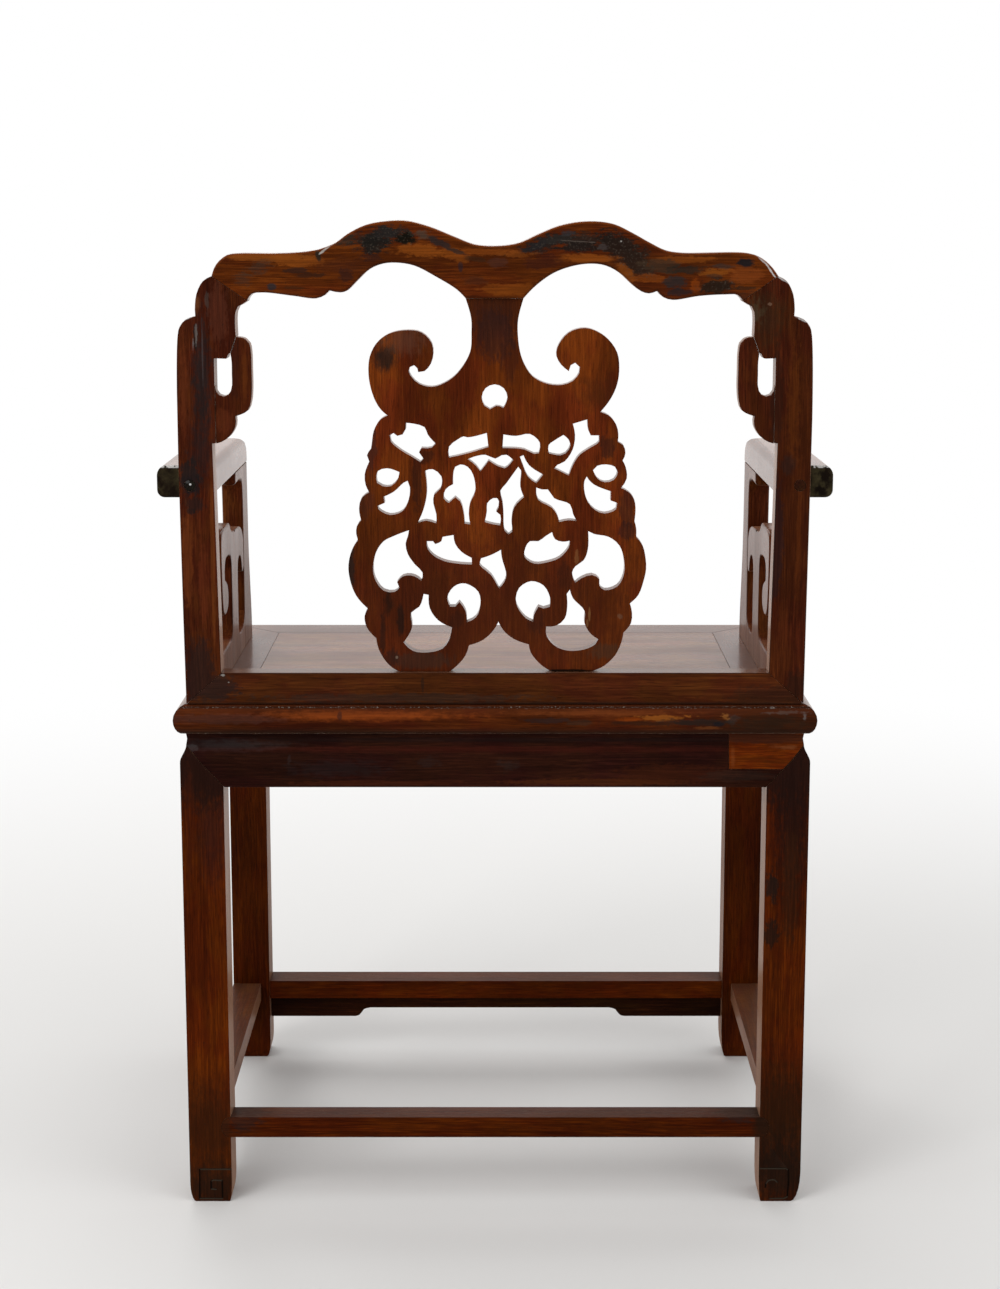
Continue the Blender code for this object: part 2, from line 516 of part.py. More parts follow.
def keep_inside(piece, tool):
    return boolean(piece, tool, "INTERSECT")


def turn_at(before, here, after):
    ax, ay = here[0] - before[0], here[1] - before[1]
    bx, by = after[0] - here[0], after[1] - here[1]
    return abs(math.atan2(ax * by - ay * bx, ax * bx + ay * by))


def slope_at(before, here, after):
    """The curve's direction at a point, weighted by the distance to its neighbours."""
    first = math.sqrt(math.dist(before, here))
    second = math.sqrt(math.dist(here, after))
    return [
        (here[i] - before[i]) / first
        - (after[i] - before[i]) / (first + second)
        + (after[i] - here[i]) / second
        for i in (0, 1)
    ]


def smooth(points, closed=True):
    """Points along a smooth curve through the given ones, broken at corners and sharp turns."""
    count = len(points)
    flat = [(point[0], point[1]) for point in points]
    broken = [
        len(point) > 2 or turn_at(flat[i - 1], flat[i], flat[(i + 1) % count]) > CORNER_TURN
        for i, point in enumerate(points)
    ]
    if not closed:
        broken[0] = broken[-1] = True
    traced = []
    for i in range(count if closed else count - 1):
        j = (i + 1) % count
        start, end = flat[i], flat[j]
        root = math.sqrt(math.dist(start, end))
        leave = arrive = None
        if not broken[i]:
            leave = [value * root for value in slope_at(flat[i - 1], start, end)]
        if not broken[j]:
            arrive = [value * root for value in slope_at(start, end, flat[(j + 1) % count])]
        if leave is None and arrive is None:
            traced.append(start)
            continue
        chord = [end[k] - start[k] for k in (0, 1)]
        leave = leave or [(3 * chord[k] - arrive[k]) / 2 for k in (0, 1)]
        arrive = arrive or [(3 * chord[k] - leave[k]) / 2 for k in (0, 1)]
        steps = max(1, round(math.dist(start, end) / CURVE_STEP))
        for step in range(steps):
            t = step / steps
            traced.append(tuple(
                start[k] * (2 * t**3 - 3 * t**2 + 1) + leave[k] * (t**3 - 2 * t**2 + t)
                + end[k] * (3 * t**2 - 2 * t**3) + arrive[k] * (t**3 - t**2)
                for k in (0, 1)
            ))
    if not closed:
        traced.append(flat[-1])
    return traced


def quarter(start, end, facets=NOSE_FACETS):
    """Points of a quarter ellipse that leaves start along the first axis and ends at end."""
    return [
        (start[0] + (end[0] - start[0]) * math.sin(step / facets * math.pi / 2),
         start[1] + (end[1] - start[1]) * (1 - math.cos(step / facets * math.pi / 2)))
        for step in range(facets + 1)
    ]


def back_points(shares, side=1):
    """Outline shares of the back as points in metres, keeping the corner marks."""
    return [(side * point[0] * HALF_BACK, SEAT_HEIGHT + point[1] * BACK_RISE, *point[2:]) for point in shares]


def back_height(share):
    return SEAT_HEIGHT + share * BACK_RISE


def arm_points(shares):
    """Outline shares of an arm as (y, z) points in metres, keeping the corner marks."""
    return [
        (BACK_FRONT - GAP - point[0] * ARM_LENGTH, SEAT_HEIGHT + GAP + point[1] * (ARM_HEIGHT - 2 * GAP),
         *point[2:])
        for point in shares
    ]


# Seat frame

def nose_section():
    """(inset, height) points of a seat frame member, nose outside, groove inside."""
    top = SEAT_HEIGHT
    bottom = SEAT_UNDERSIDE
    middle = top - NOSE_DROP
    groove_low = top - PANEL_THICKNESS - GAP
    groove_high = groove_low + PANEL_TONGUE_THICKNESS + 2 * GAP
    groove_inset = SEAT_FRAME_WIDTH - PANEL_TONGUE - 2 * GAP
    upper = [(x, z) for z, x in quarter((middle, 0), (top, NOSE_RUN_TOP))]
    lower = [(x, z) for z, x in quarter((middle, 0), (bottom, NOSE_RUN_BOTTOM))]
    inside = [
        (SEAT_FRAME_WIDTH, bottom), (SEAT_FRAME_WIDTH, groove_low), (groove_inset, groove_low),
        (groove_inset, groove_high), (SEAT_FRAME_WIDTH, groove_high), (SEAT_FRAME_WIDTH, top),
    ]
    return upper[:0:-1] + lower + inside


def frame_member(name, across, length, finish):
    """A mitred member of the seat frame. across(inset, along, height) places a point."""
    section = nose_section()
    rings = []
    for end in (-1, 1):
        rings.append([across(inset, end * (length / 2 - inset - GAP), height) for inset, height in section])
    return loft(name, rings, finish)


def mitre_tenon(side, end, clearance):
    """The tenon of a front or rear member, in the mitre of a side member."""
    middle = SEAT_DEPTH / 2 - SEAT_FRAME_WIDTH / 2
    reach = SEAT_WIDTH / 2 - SEAT_FRAME_WIDTH / 2 + MITRE_TENON_REACH
    start = SEAT_WIDTH / 2 - SEAT_FRAME_WIDTH - MITRE_TENON_WIDTH
    top = SEAT_HEIGHT - MITRE_TENON_DEPTH
    return block(
        (side * start, end * (middle - MITRE_TENON_WIDTH / 2 - clearance),
         top - MITRE_TENON_THICKNESS - clearance),
        (side * (reach + clearance), end * (middle + MITRE_TENON_WIDTH / 2 + clearance), top + clearance),
    )


def leg_tenon_centres(side, end):
    """Centres of a leg's two top tenons: the first enters a front or rear member."""
    core_x = LEG_SPREAD / 2 - (LEG_SIZE + APRON_THICKNESS) / 2
    core_y = LEG_STANCE / 2 - (LEG_SIZE + APRON_THICKNESS) / 2
    return [(side * (core_x + way * LEG_TENON_OFFSET), end * (core_y - way * LEG_TENON_OFFSET))
            for way in (-1, 1)]


def leg_tenon(centre, clearance):
    half = LEG_TENON_SIZE / 2 + clearance
    return block(
        (centre[0] - half, centre[1] - half, SEAT_UNDERSIDE - OVERRUN),
        (centre[0] + half, centre[1] + half, SEAT_UNDERSIDE + LEG_TENON_HEIGHT + clearance),
    )


def batten_tenon(side, end, clearance):
    inner = SEAT_DEPTH / 2 - SEAT_FRAME_WIDTH
    low = SEAT_HEIGHT - PANEL_THICKNESS - BATTEN_HEIGHT
    x = side * BATTEN_SPACING / 2
    half = BATTEN_NECK / 2 + clearance
    return block(
        (x - half, end * (inner - OVERRUN), low - clearance),
        (x + half, end * (inner + BATTEN_TENON + clearance), low + BATTEN_TENON_HEIGHT + clearance),
    )


def back_rail_tenon(side, clearance):
    """A tenon of the back's bottom rail, down into the rear seat member."""
    x = side * RAIL_TENON_SPACING / 2
    y = BACK_FRONT + BACK_THICKNESS / 2
    half_width = RAIL_TENON_WIDTH / 2 + clearance
    half_thickness = RAIL_TENON_THICKNESS / 2 + clearance
    return block(
        (x - half_width, y - half_thickness, SEAT_HEIGHT - RAIL_TENON - clearance),
        (x + half_width, y + half_thickness, SEAT_HEIGHT + OVERRUN),
    )


def arm_tenon_places():
    """(middle y, length, depth, width) of the tenons of one arm in its side seat member."""
    rear = BACK_FRONT - ARM_LENGTH * FRET_SEAM_SHARE / 4
    rear_two = BACK_FRONT - ARM_LENGTH * FRET_SEAM_SHARE * 3 / 4
    front = BACK_FRONT - ARM_LENGTH * (FRET_SEAM_SHARE + SUPPORT_REAR_SHARE) / 2
    support = BACK_FRONT - ARM_LENGTH * (SUPPORT_REAR_SHARE + 1) / 2
    return {
        "rear": (rear, FRET_SEAT_TENON_LENGTH, FRET_SEAT_TENON, FRET_SEAT_TENON_WIDTH),
        "rear_two": (rear_two, FRET_SEAT_TENON_LENGTH, FRET_SEAT_TENON, FRET_SEAT_TENON_WIDTH),
        "front": (front, FRET_SEAT_TENON_LENGTH, FRET_SEAT_TENON, FRET_SEAT_TENON_WIDTH),
        "support": (support, SUPPORT_TENON_LENGTH, SUPPORT_TENON, SUPPORT_TENON_WIDTH),
    }


def arm_seat_tenon(side, place, clearance):
    y, length, depth, width = arm_tenon_places()[place]
    x = side * (ARM_INSIDE + FRET_THICKNESS / 2)
    half_width = width / 2 + clearance
    half_length = length / 2 + clearance
    return block(
        (x - half_width, y - half_length, SEAT_HEIGHT - depth - clearance),
        (x + half_width, y + half_length, SEAT_HEIGHT + OVERRUN),
    )


def build_seat(finish):
    for name, end in (("seat_frame_rear", 1), ("seat_frame_front", -1)):
        member = frame_member(
            name, lambda inset, along, height: (along, end * (SEAT_DEPTH / 2 - inset), height),
            SEAT_WIDTH, finish)
        for side in (1, -1):
            fuse(member, mitre_tenon(side, end, 0))
            cut(member, leg_tenon(leg_tenon_centres(side, end)[0], GAP))
            cut(member, batten_tenon(side, end, GAP))
            if end > 0:
                cut(member, back_rail_tenon(side, GAP))
    for name, side in (("seat_frame_left", 1), ("seat_frame_right", -1)):
        member = frame_member(
            name, lambda inset, along, height: (side * (SEAT_WIDTH / 2 - inset), along, height),
            SEAT_DEPTH, finish)
        for end in (1, -1):
            cut(member, mitre_tenon(side, end, GAP))
            cut(member, leg_tenon(leg_tenon_centres(side, end)[1], GAP))
        for place in arm_tenon_places():
            cut(member, arm_seat_tenon(side, place, GAP))
    half_x = SEAT_WIDTH / 2 - SEAT_FRAME_WIDTH - GAP
    half_y = SEAT_DEPTH / 2 - SEAT_FRAME_WIDTH - GAP
    low = SEAT_HEIGHT - PANEL_THICKNESS
    rings = []
    for z, grow in ((low, PANEL_TONGUE), (low + PANEL_TONGUE_THICKNESS, PANEL_TONGUE),
                    (low + PANEL_TONGUE_THICKNESS, 0), (SEAT_HEIGHT, 0)):
        x, y = half_x + grow, half_y + grow
        rings.append([(-x, -y, z), (x, -y, z), (x, y, z), (-x, y, z)])
    panel = loft("seat_panel", rings, finish)
    for name, side in (("seat_batten_left", 1), ("seat_batten_right", -1)):
        cut(panel, batten_bar(side, GAP, half_y + PANEL_TONGUE + OVERRUN))
        batten = batten_bar(side, 0, half_y)
        batten.name = name
        batten.data.materials.append(finish)
        for end in (1, -1):
            fuse(batten, batten_tenon(side, end, 0))


def batten_bar(side, clearance, half_length):
    """A batten whose dovetail top slides into the panel from below."""
    x = side * BATTEN_SPACING / 2
    joint = SEAT_HEIGHT - PANEL_THICKNESS
    low = joint - BATTEN_HEIGHT
    half_foot = BATTEN_WIDTH / 2 + clearance
    half_neck = BATTEN_NECK / 2 + clearance
    level = joint - GAP
    top = joint + BATTEN_DOVETAIL + clearance
    if clearance:
        section = [(x - half_neck, low), (x + half_neck, low), (x + half_neck, level), (x + half_foot, top),
                   (x - half_foot, top), (x - half_neck, level)]
    else:
        section = [(x - half_foot, low), (x + half_foot, low), (x + half_foot, level),
                   (x + half_neck, level), (x + half_foot, top), (x - half_foot, top),
                   (x - half_neck, level), (x - half_foot, level)]
    return board("batten", section, "y", -half_length, half_length)


# Legs and aprons

def shoulder_curve():
    """(height, inset) points of the soft shoulder from an apron's face back to its waist."""
    points = []
    for step in range(2 * NOSE_FACETS + 1):
        share = step / (2 * NOSE_FACETS)
        height = SHOULDER_LEVEL - APRON_SHOULDER * (1 - share)
        points.append((height, WAIST_INSET * (1 - math.cos(math.pi * share)) / 2))
    return points


def apron_section():
    """(inset, height) points of an apron and its waist, outside first, from the bottom up."""
    hollow = (WAIST_INSET + WAIST_HOLLOW, SHOULDER_LEVEL + WAIST_HEIGHT / 2)
    top = SEAT_UNDERSIDE - GAP
    return (
        [(0, APRON_LEVEL)] + [(inset, height) for height, inset in shoulder_curve()]
        + [hollow, (WAIST_INSET, top), (APRON_THICKNESS, top), (APRON_THICKNESS, APRON_LEVEL)]
    )


def mitre_tool(span, side, clearance, covers_leg):
    """The prism on one side of the mitre between an apron and a leg, seen square to the apron.

    span is the distance from the chair's middle to the legs' outer face along the apron.
    """
    inner = span - LEG_SIZE
    outer = span - WAIST_INSET
    drop = OVERRUN
    if covers_leg:
        top = SHOULDER_LEVEL + clearance
        outline = [(inner - drop, APRON_LEVEL - drop), (outer, SHOULDER_LEVEL), (outer, top),
                   (span + drop, top), (span + drop, APRON_LEVEL - drop)]
    else:
        inner += clearance * math.sqrt(2)
        outer += clearance * math.sqrt(2)
        top = SHOULDER_LEVEL + drop
        outline = [(inner - drop, APRON_LEVEL - drop), (outer + drop, top), (inner - drop, top)]
    return [(side * x, z) for x, z in outline]


def tongue_outline(span, stance, clearance):
    """The hanging dovetail between a leg's core and an apron, in plan, as (along, across)."""
    middle = span - (LEG_SIZE + APRON_THICKNESS) / 2
    face = stance - APRON_THICKNESS
    base, tip = TONGUE_BASE / 2 + clearance, TONGUE_TIP / 2 + clearance
    return [
        (middle - base, face - OVERRUN / 2), (middle + base, face - OVERRUN / 2), (middle + base, face - GAP),
        (middle + tip, face + TONGUE_DEPTH + clearance), (middle - tip, face + TONGUE_DEPTH + clearance),
        (middle - base, face - GAP),
    ]


def build_aprons(finish, patch_finish):
    half_x, half_y = LEG_SPREAD / 2, LEG_STANCE / 2
    spans = {
        "apron_rear": ("y", 1, half_x, half_y), "apron_front": ("y", -1, half_x, half_y),
        "apron_left": ("x", 1, half_y, half_x), "apron_right": ("x", -1, half_y, half_x),
    }
    aprons = {}
    for name, (axis, way, span, stance) in spans.items():
        def place(along, inset, height):
            across = way * (stance - inset)
            return (along, across, height) if axis == "y" else (across, along, height)

        rings = [[place(end * span, inset, height) for inset, height in apron_section()] for end in (-1, 1)]
        apron = loft(name, rings, finish)
        for end in (1, -1):
            outline = mitre_tool(span, end, GAP, True)
            across = sorted((way * (stance - APRON_THICKNESS - OVERRUN), way * (stance + OVERRUN)))
            cut(apron, board("mitre", outline, axis, across[0], across[1]))
            inner = span - APRON_THICKNESS - OVERRUN
            inner_across = stance - APRON_THICKNESS - OVERRUN
            plan = [(inner, inner_across), (span + OVERRUN, stance + OVERRUN), (span + OVERRUN, inner_across)]
            plan = [(end * (along - GAP), way * across_at) for along, across_at in plan]
            if axis == "x":
                plan = [(b, a) for a, b in plan]
            cut(apron, board("plan_mitre", plan, "z", APRON_LEVEL - OVERRUN, SEAT_UNDERSIDE + OVERRUN))
            slot = [(end * a, way * b) for a, b in tongue_outline(span, stance, GAP)]
            if axis == "x":
                slot = [(b, a) for a, b in slot]
            low = APRON_LEVEL + TONGUE_RISE - GAP
            cut(apron, board("slot", slot, "z", low, SEAT_UNDERSIDE + OVERRUN))
        aprons[name] = apron
    rear = aprons["apron_rear"]
    patch = rear.copy()
    patch.data = rear.data.copy()
    patch.name = patch.data.name = "waist_repair_patch"
    bpy.context.collection.objects.link(patch)
    patch.data.materials.clear()
    patch.data.materials.append(patch_finish)
    keep_inside(patch, patch_block(GAP))
    cut(rear, patch_block(0))


def patch_block(clearance):
    """The let-in patch on the right of the rear apron, up to its top and along to the mitre."""
    low = APRON_LEVEL + PATCH_RISE
    return block(
        (-PATCH_START - clearance, half_stance() - WAIST_INSET - PATCH_DEPTH + clearance, low + clearance),
        (-LEG_SPREAD / 2 - OVERRUN, half_stance() + OVERRUN, SEAT_UNDERSIDE + OVERRUN - clearance),
    )


def half_stance():
    return LEG_STANCE / 2


def leg_rings(side, end):
    """Square rings of a leg from the floor up: rounded foot, shaft, shoulder and neck."""
    inner_x, inner_y = LEG_SPREAD / 2 - LEG_SIZE, LEG_STANCE / 2 - LEG_SIZE
    outer_x, outer_y = LEG_SPREAD / 2, LEG_STANCE / 2
    levels = []
    foot_round = LEFT_FOOT_ROUND if side > 0 else RIGHT_FOOT_ROUND
    round_height = LEFT_FOOT_ROUND_HEIGHT if side > 0 else RIGHT_FOOT_ROUND_HEIGHT
    inside_round = REAR_FOOT_ROUND_INSIDE if end > 0 else FRONT_FOOT_ROUND_INSIDE
    for height, outside in reversed(quarter((round_height, 0), (0, foot_round))):
        levels.append((height, outside, inside_round * outside / foot_round))
    for height, outside in shoulder_curve():
        levels.append((height, outside, 0))
    levels.append((SEAT_UNDERSIDE - GAP, WAIST_INSET, 0))
    rings = []
    for height, outside, inside in levels:
        x0, x1 = side * (inner_x + inside), side * (outer_x - outside)
        y0, y1 = end * (inner_y + inside), end * (outer_y - outside)
        rings.append([(x0, y0, height), (x1, y0, height), (x1, y1, height), (x0, y1, height)])
    return rings


def waist_room(side, end):
    """What the aprons' waists take of a leg's neck: all but its core, above the shoulder."""
    inner_x, inner_y = LEG_SPREAD / 2 - LEG_SIZE - OVERRUN, LEG_STANCE / 2 - LEG_SIZE - OVERRUN
    core_x = LEG_SPREAD / 2 - APRON_THICKNESS - 2 * GAP
    core_y = LEG_STANCE / 2 - APRON_THICKNESS - 2 * GAP
    outer_x, outer_y = LEG_SPREAD / 2 + OVERRUN, LEG_STANCE / 2 + OVERRUN
    plan = [(core_x, inner_y), (outer_x, inner_y), (outer_x, outer_y), (inner_x, outer_y),
            (inner_x, core_y), (core_x, core_y)]
    return board("waist_room", [(side * x, end * y) for x, y in plan], "z", SHOULDER_LEVEL,
                 SEAT_UNDERSIDE + OVERRUN)


def stretcher_facts(end):
    """Top level, width and outer face of the stretchers, as (side, cross) pairs for a leg."""
    side_facts = (SIDE_STRETCHER_TOP, SIDE_STRETCHER_WIDTH, LEG_SPREAD / 2)
    if end > 0:
        return side_facts, (REAR_STRETCHER_TOP, REAR_STRETCHER_WIDTH, LEG_STANCE / 2)
    return side_facts, (FRONT_STRETCHER_TOP, FRONT_STRETCHER_WIDTH, LEG_STANCE / 2 - FRONT_STRETCHER_INSET)


def stretcher_tenon(inner, face, top, width, clearance):
    """(along, across, height) ranges of a stretcher's tenon in a leg."""
    middle = face - width / 2
    centre = top - STRETCHER_HEIGHT / 2
    return (
        (inner - OVERRUN / 2, inner + STRETCHER_TENON + clearance),
        (middle - STRETCHER_TENON_WIDTH / 2 - clearance, middle + STRETCHER_TENON_WIDTH / 2 + clearance),
        (centre - STRETCHER_TENON_HEIGHT / 2 - clearance, centre + STRETCHER_TENON_HEIGHT / 2 + clearance),
    )


def lap_outline(inner, top, clearance):
    """The rounded scribed shoulder that laps a leg's face, as (along, height)."""
    low = top - STRETCHER_HEIGHT
    middle = (top + low) / 2
    reach = SHOULDER_LAP + clearance
    rise = STRETCHER_HEIGHT / 2 + clearance
    start = inner - OVERRUN / 2
    curve = []
    for step in range(2 * NOSE_FACETS + 1):
        angle = math.pi * step / (2 * NOSE_FACETS) - math.pi / 2
        curve.append((inner + reach * math.cos(angle), middle + rise * math.sin(angle)))
    return [(start, middle - rise)] + curve + [(start, middle + rise)]


def build_legs(finish):
    for name, side, end in (("leg_rear_left", 1, 1), ("leg_rear_right", -1, 1),
                            ("leg_front_left", 1, -1), ("leg_front_right", -1, -1)):
        leg = cut(loft(name, leg_rings(side, end), finish), waist_room(side, end))
        for axis, way, span, stance in (("y", side, LEG_SPREAD / 2, end * LEG_STANCE / 2),
                                        ("x", end, LEG_STANCE / 2, side * LEG_SPREAD / 2)):
            sign = math.copysign(1, stance)
            skin = sorted((stance - sign * (APRON_THICKNESS + GAP), stance + sign * OVERRUN))
            cut(leg, board("apron_room", mitre_tool(span, way, GAP, False), axis, skin[0], skin[1]))
            tongue = [(way * a, sign * b) for a, b in tongue_outline(span, abs(stance), 0)]
            if axis == "x":
                tongue = [(b, a) for a, b in tongue]
            fuse(leg, board("tongue", tongue, "z", APRON_LEVEL + TONGUE_RISE, SEAT_UNDERSIDE - 2 * GAP))
        (side_top, side_width, side_face), (cross_top, cross_width, cross_face) = stretcher_facts(end)
        inner_x, inner_y = LEG_SPREAD / 2 - LEG_SIZE, LEG_STANCE / 2 - LEG_SIZE
        (x0, x1), (y0, y1), (z0, z1) = stretcher_tenon(inner_x, cross_face, cross_top, cross_width, GAP)
        cut(leg, block((side * x0, end * y0, z0), (side * x1, end * y1, z1)))
        (y0, y1), (x0, x1), (z0, z1) = stretcher_tenon(inner_y, side_face, side_top, side_width, GAP)
        cut(leg, block((side * x0, end * y0, z0), (side * x1, end * y1, z1)))
        lap = [(end * a, z) for a, z in lap_outline(inner_y, side_top, GAP)]
        across = sorted((side * (side_face - SHOULDER_SKIN - GAP), side * (side_face + OVERRUN)))
        cut(leg, board("lap", lap, "x", across[0], across[1]))
        if end > 0:
            lap = [(side * a, z) for a, z in lap_outline(inner_x, cross_top, GAP)]
            cut(leg, board("lap", lap, "y", cross_face - SHOULDER_SKIN - GAP, cross_face + OVERRUN))
        for centre in leg_tenon_centres(side, end):
            fuse(leg, leg_tenon(centre, 0))


# Stretchers

def skirt_outline(half_length, top, other_end_length):
    """A stepped board under a stretcher, as (along, height), deeper at its ends."""
    middle_low = top - STRETCHER_HEIGHT - SKIRT_DROP
    end_low = top - STRETCHER_HEIGHT - SKIRT_END_DROP
    tongue_top = top - STRETCHER_HEIGHT + SKIRT_TONGUE
    halves = []
    for end_length in (SKIRT_END_LENGTH, other_end_length):
        step_end = half_length - end_length
        half = [(half_length, tongue_top), (half_length, end_low), (step_end + SKIRT_STEP, end_low)]
        half += [
            (step_end + SKIRT_STEP * (1 - share), end_low + (middle_low - end_low) * rise)
            for share, rise in SKIRT_WAVE_SHARES
        ]
        halves.append(half + [(step_end - SKIRT_STEP / 3, middle_low)])
    return halves[0] + [(-along, height) for along, height in reversed(halves[1])]


def build_stretchers(finish):
    inner_x, inner_y = LEG_SPREAD / 2 - LEG_SIZE, LEG_STANCE / 2 - LEG_SIZE
    for name, end in (("rear", 1), ("front", -1)):
        _, (top, width, face) = stretcher_facts(end)
        low = top - STRETCHER_HEIGHT
        bar = block((-inner_x + GAP, end * (face - width), low), (inner_x - GAP, end * face, top), finish,
                    "stretcher_" + name)
        for side in (1, -1):
            (x0, x1), (y0, y1), (z0, z1) = stretcher_tenon(inner_x, face, top, width, 0)
            fuse(bar, block((side * x0, end * y0, z0), (side * x1, end * y1, z1)))
            if end > 0:
                lap = [(side * a, z) for a, z in lap_outline(inner_x, top, 0)]
                fuse(bar, board("lap", lap, "y", face - SHOULDER_SKIN, face))
        if end < 0:
            middle = end * (face - width / 2)
            slot = SKIRT_THICKNESS / 2 + GAP
            cut(bar, block((-inner_x - OVERRUN, middle - slot, low - OVERRUN),
                           (inner_x + OVERRUN, middle + slot, low + SKIRT_TONGUE + GAP)))
            board("stretcher_apron_front", skirt_outline(inner_x - GAP, top, SKIRT_RIGHT_END_LENGTH), "y",
                  middle - SKIRT_THICKNESS / 2, middle + SKIRT_THICKNESS / 2, finish=finish)
    for name, side in (("left", 1), ("right", -1)):
        (top, width, face), _ = stretcher_facts(1)
        low = top - STRETCHER_HEIGHT
        bar = block((side * (face - width), -inner_y + GAP, low), (side * face, inner_y - GAP, top), finish,
                    "stretcher_" + name)
        middle = side * (face - width / 2)
        slot = SKIRT_THICKNESS / 2 + GAP
        cut(bar, block((middle - slot, -inner_y - OVERRUN, low - OVERRUN),
                       (middle + slot, inner_y + OVERRUN, low + SKIRT_TONGUE + GAP)))
        board("stretcher_apron_" + name, skirt_outline(inner_y - GAP, top, SKIRT_END_LENGTH), "x",
              middle - SKIRT_THICKNESS / 2, middle + SKIRT_THICKNESS / 2, finish=finish)
        for end in (1, -1):
            (y0, y1), (x0, x1), (z0, z1) = stretcher_tenon(inner_y, face, top, width, 0)
            fuse(bar, block((side * x0, end * y0, z0), (side * x1, end * y1, z1)))
            lap = [(end * a, z) for a, z in lap_outline(inner_y, top, 0)]
            across = sorted((side * (face - SHOULDER_SKIN), side * face))
            fuse(bar, board("lap", lap, "x", across[0], across[1]))


# Back

def rail_key(side, clearance):
    """The tenon at the mitre of the back's bottom rail, sideways into a post."""
    middle = BACK_FRONT + BACK_THICKNESS / 2
    half = RAIL_TENON_THICKNESS / 2 + clearance
    low = SEAT_HEIGHT + (BACK_RAIL_HEIGHT - RAIL_KEY_HEIGHT) / 2
    start = HALF_BACK - POST_FOOT_WIDTH - OVERRUN
    return block(
        (side * start, middle - half, low - clearance),
        (side * (HALF_BACK - POST_FOOT_WIDTH / 2 + RAIL_KEY / 2 + clearance), middle + half,
         low + RAIL_KEY_HEIGHT + clearance),
    )


def post_tenon(side, clearance):
    """The tenon on a post's top, up into the crest above the mitre."""
    mitre = back_points(POST_MITRE_SHARES)[0]
    middle = BACK_FRONT + BACK_THICKNESS / 2
    half = POST_TENON_THICKNESS / 2 + clearance
    half_width = POST_TENON_WIDTH / 2 + clearance
    return block(
        (side * (mitre[0] - half_width), middle - half, mitre[1] - OVERRUN),
        (side * (mitre[0] + half_width), middle + half, mitre[1] + POST_TENON + clearance),
    )


def bracket_key(side, clearance):
    """The key on a bracket's edge, into the post."""
    height = back_height((BRACKET_FOOT_SHARE + LOOP_FOOT_SHARE) / 2)
    seam = POST_STEP_SHARE * HALF_BACK
    middle = BRACKET_BACK - BRACKET_THICKNESS / 2
    half = BRACKET_KEY_THICKNESS / 2 + clearance
    half_height = BRACKET_KEY_HEIGHT / 2 + clearance
    return block(
        (side * (seam - BRACKET_KEY), middle - half, height - half_height),
        (side * (seam + BRACKET_KEY + clearance), middle + half, height + half_height),
    )


def arm_tenon(side, clearance):
    """The tenon of an arm rail, back into the post."""
    x0 = ARM_INSIDE + ARM_RAIL_ROUND / 2 - clearance
    x1 = x0 + ARM_TENON_WIDTH + 2 * clearance
    z = ARM_UNDERSIDE + ARM_RAIL_THICKNESS / 2
    half = ARM_TENON_HEIGHT / 2 + clearance
    return block(
        (side * x0, BACK_FRONT - OVERRUN, z - half),
        (side * x1, BACK_FRONT + ARM_TENON + clearance, z + half),
    )


def peg(side, clearance, inset=0, finish=None, name="peg"):
    """A round peg through a post into the end of an arm rail."""
    x = side * (HALF_BACK - PEG_INSET)
    z = ARM_UNDERSIDE + ARM_RAIL_THICKNESS / 2
    radius = PEG_DIAMETER / 2 + clearance
    front = BACK_FRONT - PEG_IN_RAIL - clearance
    outline = []
    for i in range(PEG_SIDES):
        angle = 2 * math.pi * i / PEG_SIDES
        outline.append((x + radius * math.cos(angle), z + radius * math.sin(angle)))
    return board(name, outline, "y", front, BACK_PLANE + (0 if finish else OVERRUN) - inset, finish=finish)


def splat_foot_tenon(feet, clearance):
    x = HALF_BACK * sum(feet) / 2
    half_width = SPLAT_FOOT_TENON_WIDTH / 2 + clearance
    middle = SPLAT_BACK - SPLAT_THICKNESS / 2
    half = SPLAT_TENON_THICKNESS / 2 + clearance
    return block(
        (x - half_width, middle - half, BACK_RAIL_TOP - SPLAT_TENON - clearance),
        (x + half_width, middle + half, BACK_RAIL_TOP + OVERRUN),
    )


def splat_neck_tenon(clearance):
    x = HALF_BACK * (NECK_LEFT_SHARE + NECK_RIGHT_SHARE) / 2
    half_width = SPLAT_NECK_TENON_WIDTH / 2 + clearance
    middle = SPLAT_BACK - SPLAT_THICKNESS / 2
    half = SPLAT_TENON_THICKNESS / 2 + clearance
    seam = back_height(NECK_SEAM_SHARE)
    return block(
        (x - half_width, middle - half, seam - OVERRUN),
        (x + half_width, middle + half, seam + SPLAT_TENON + clearance),
    )


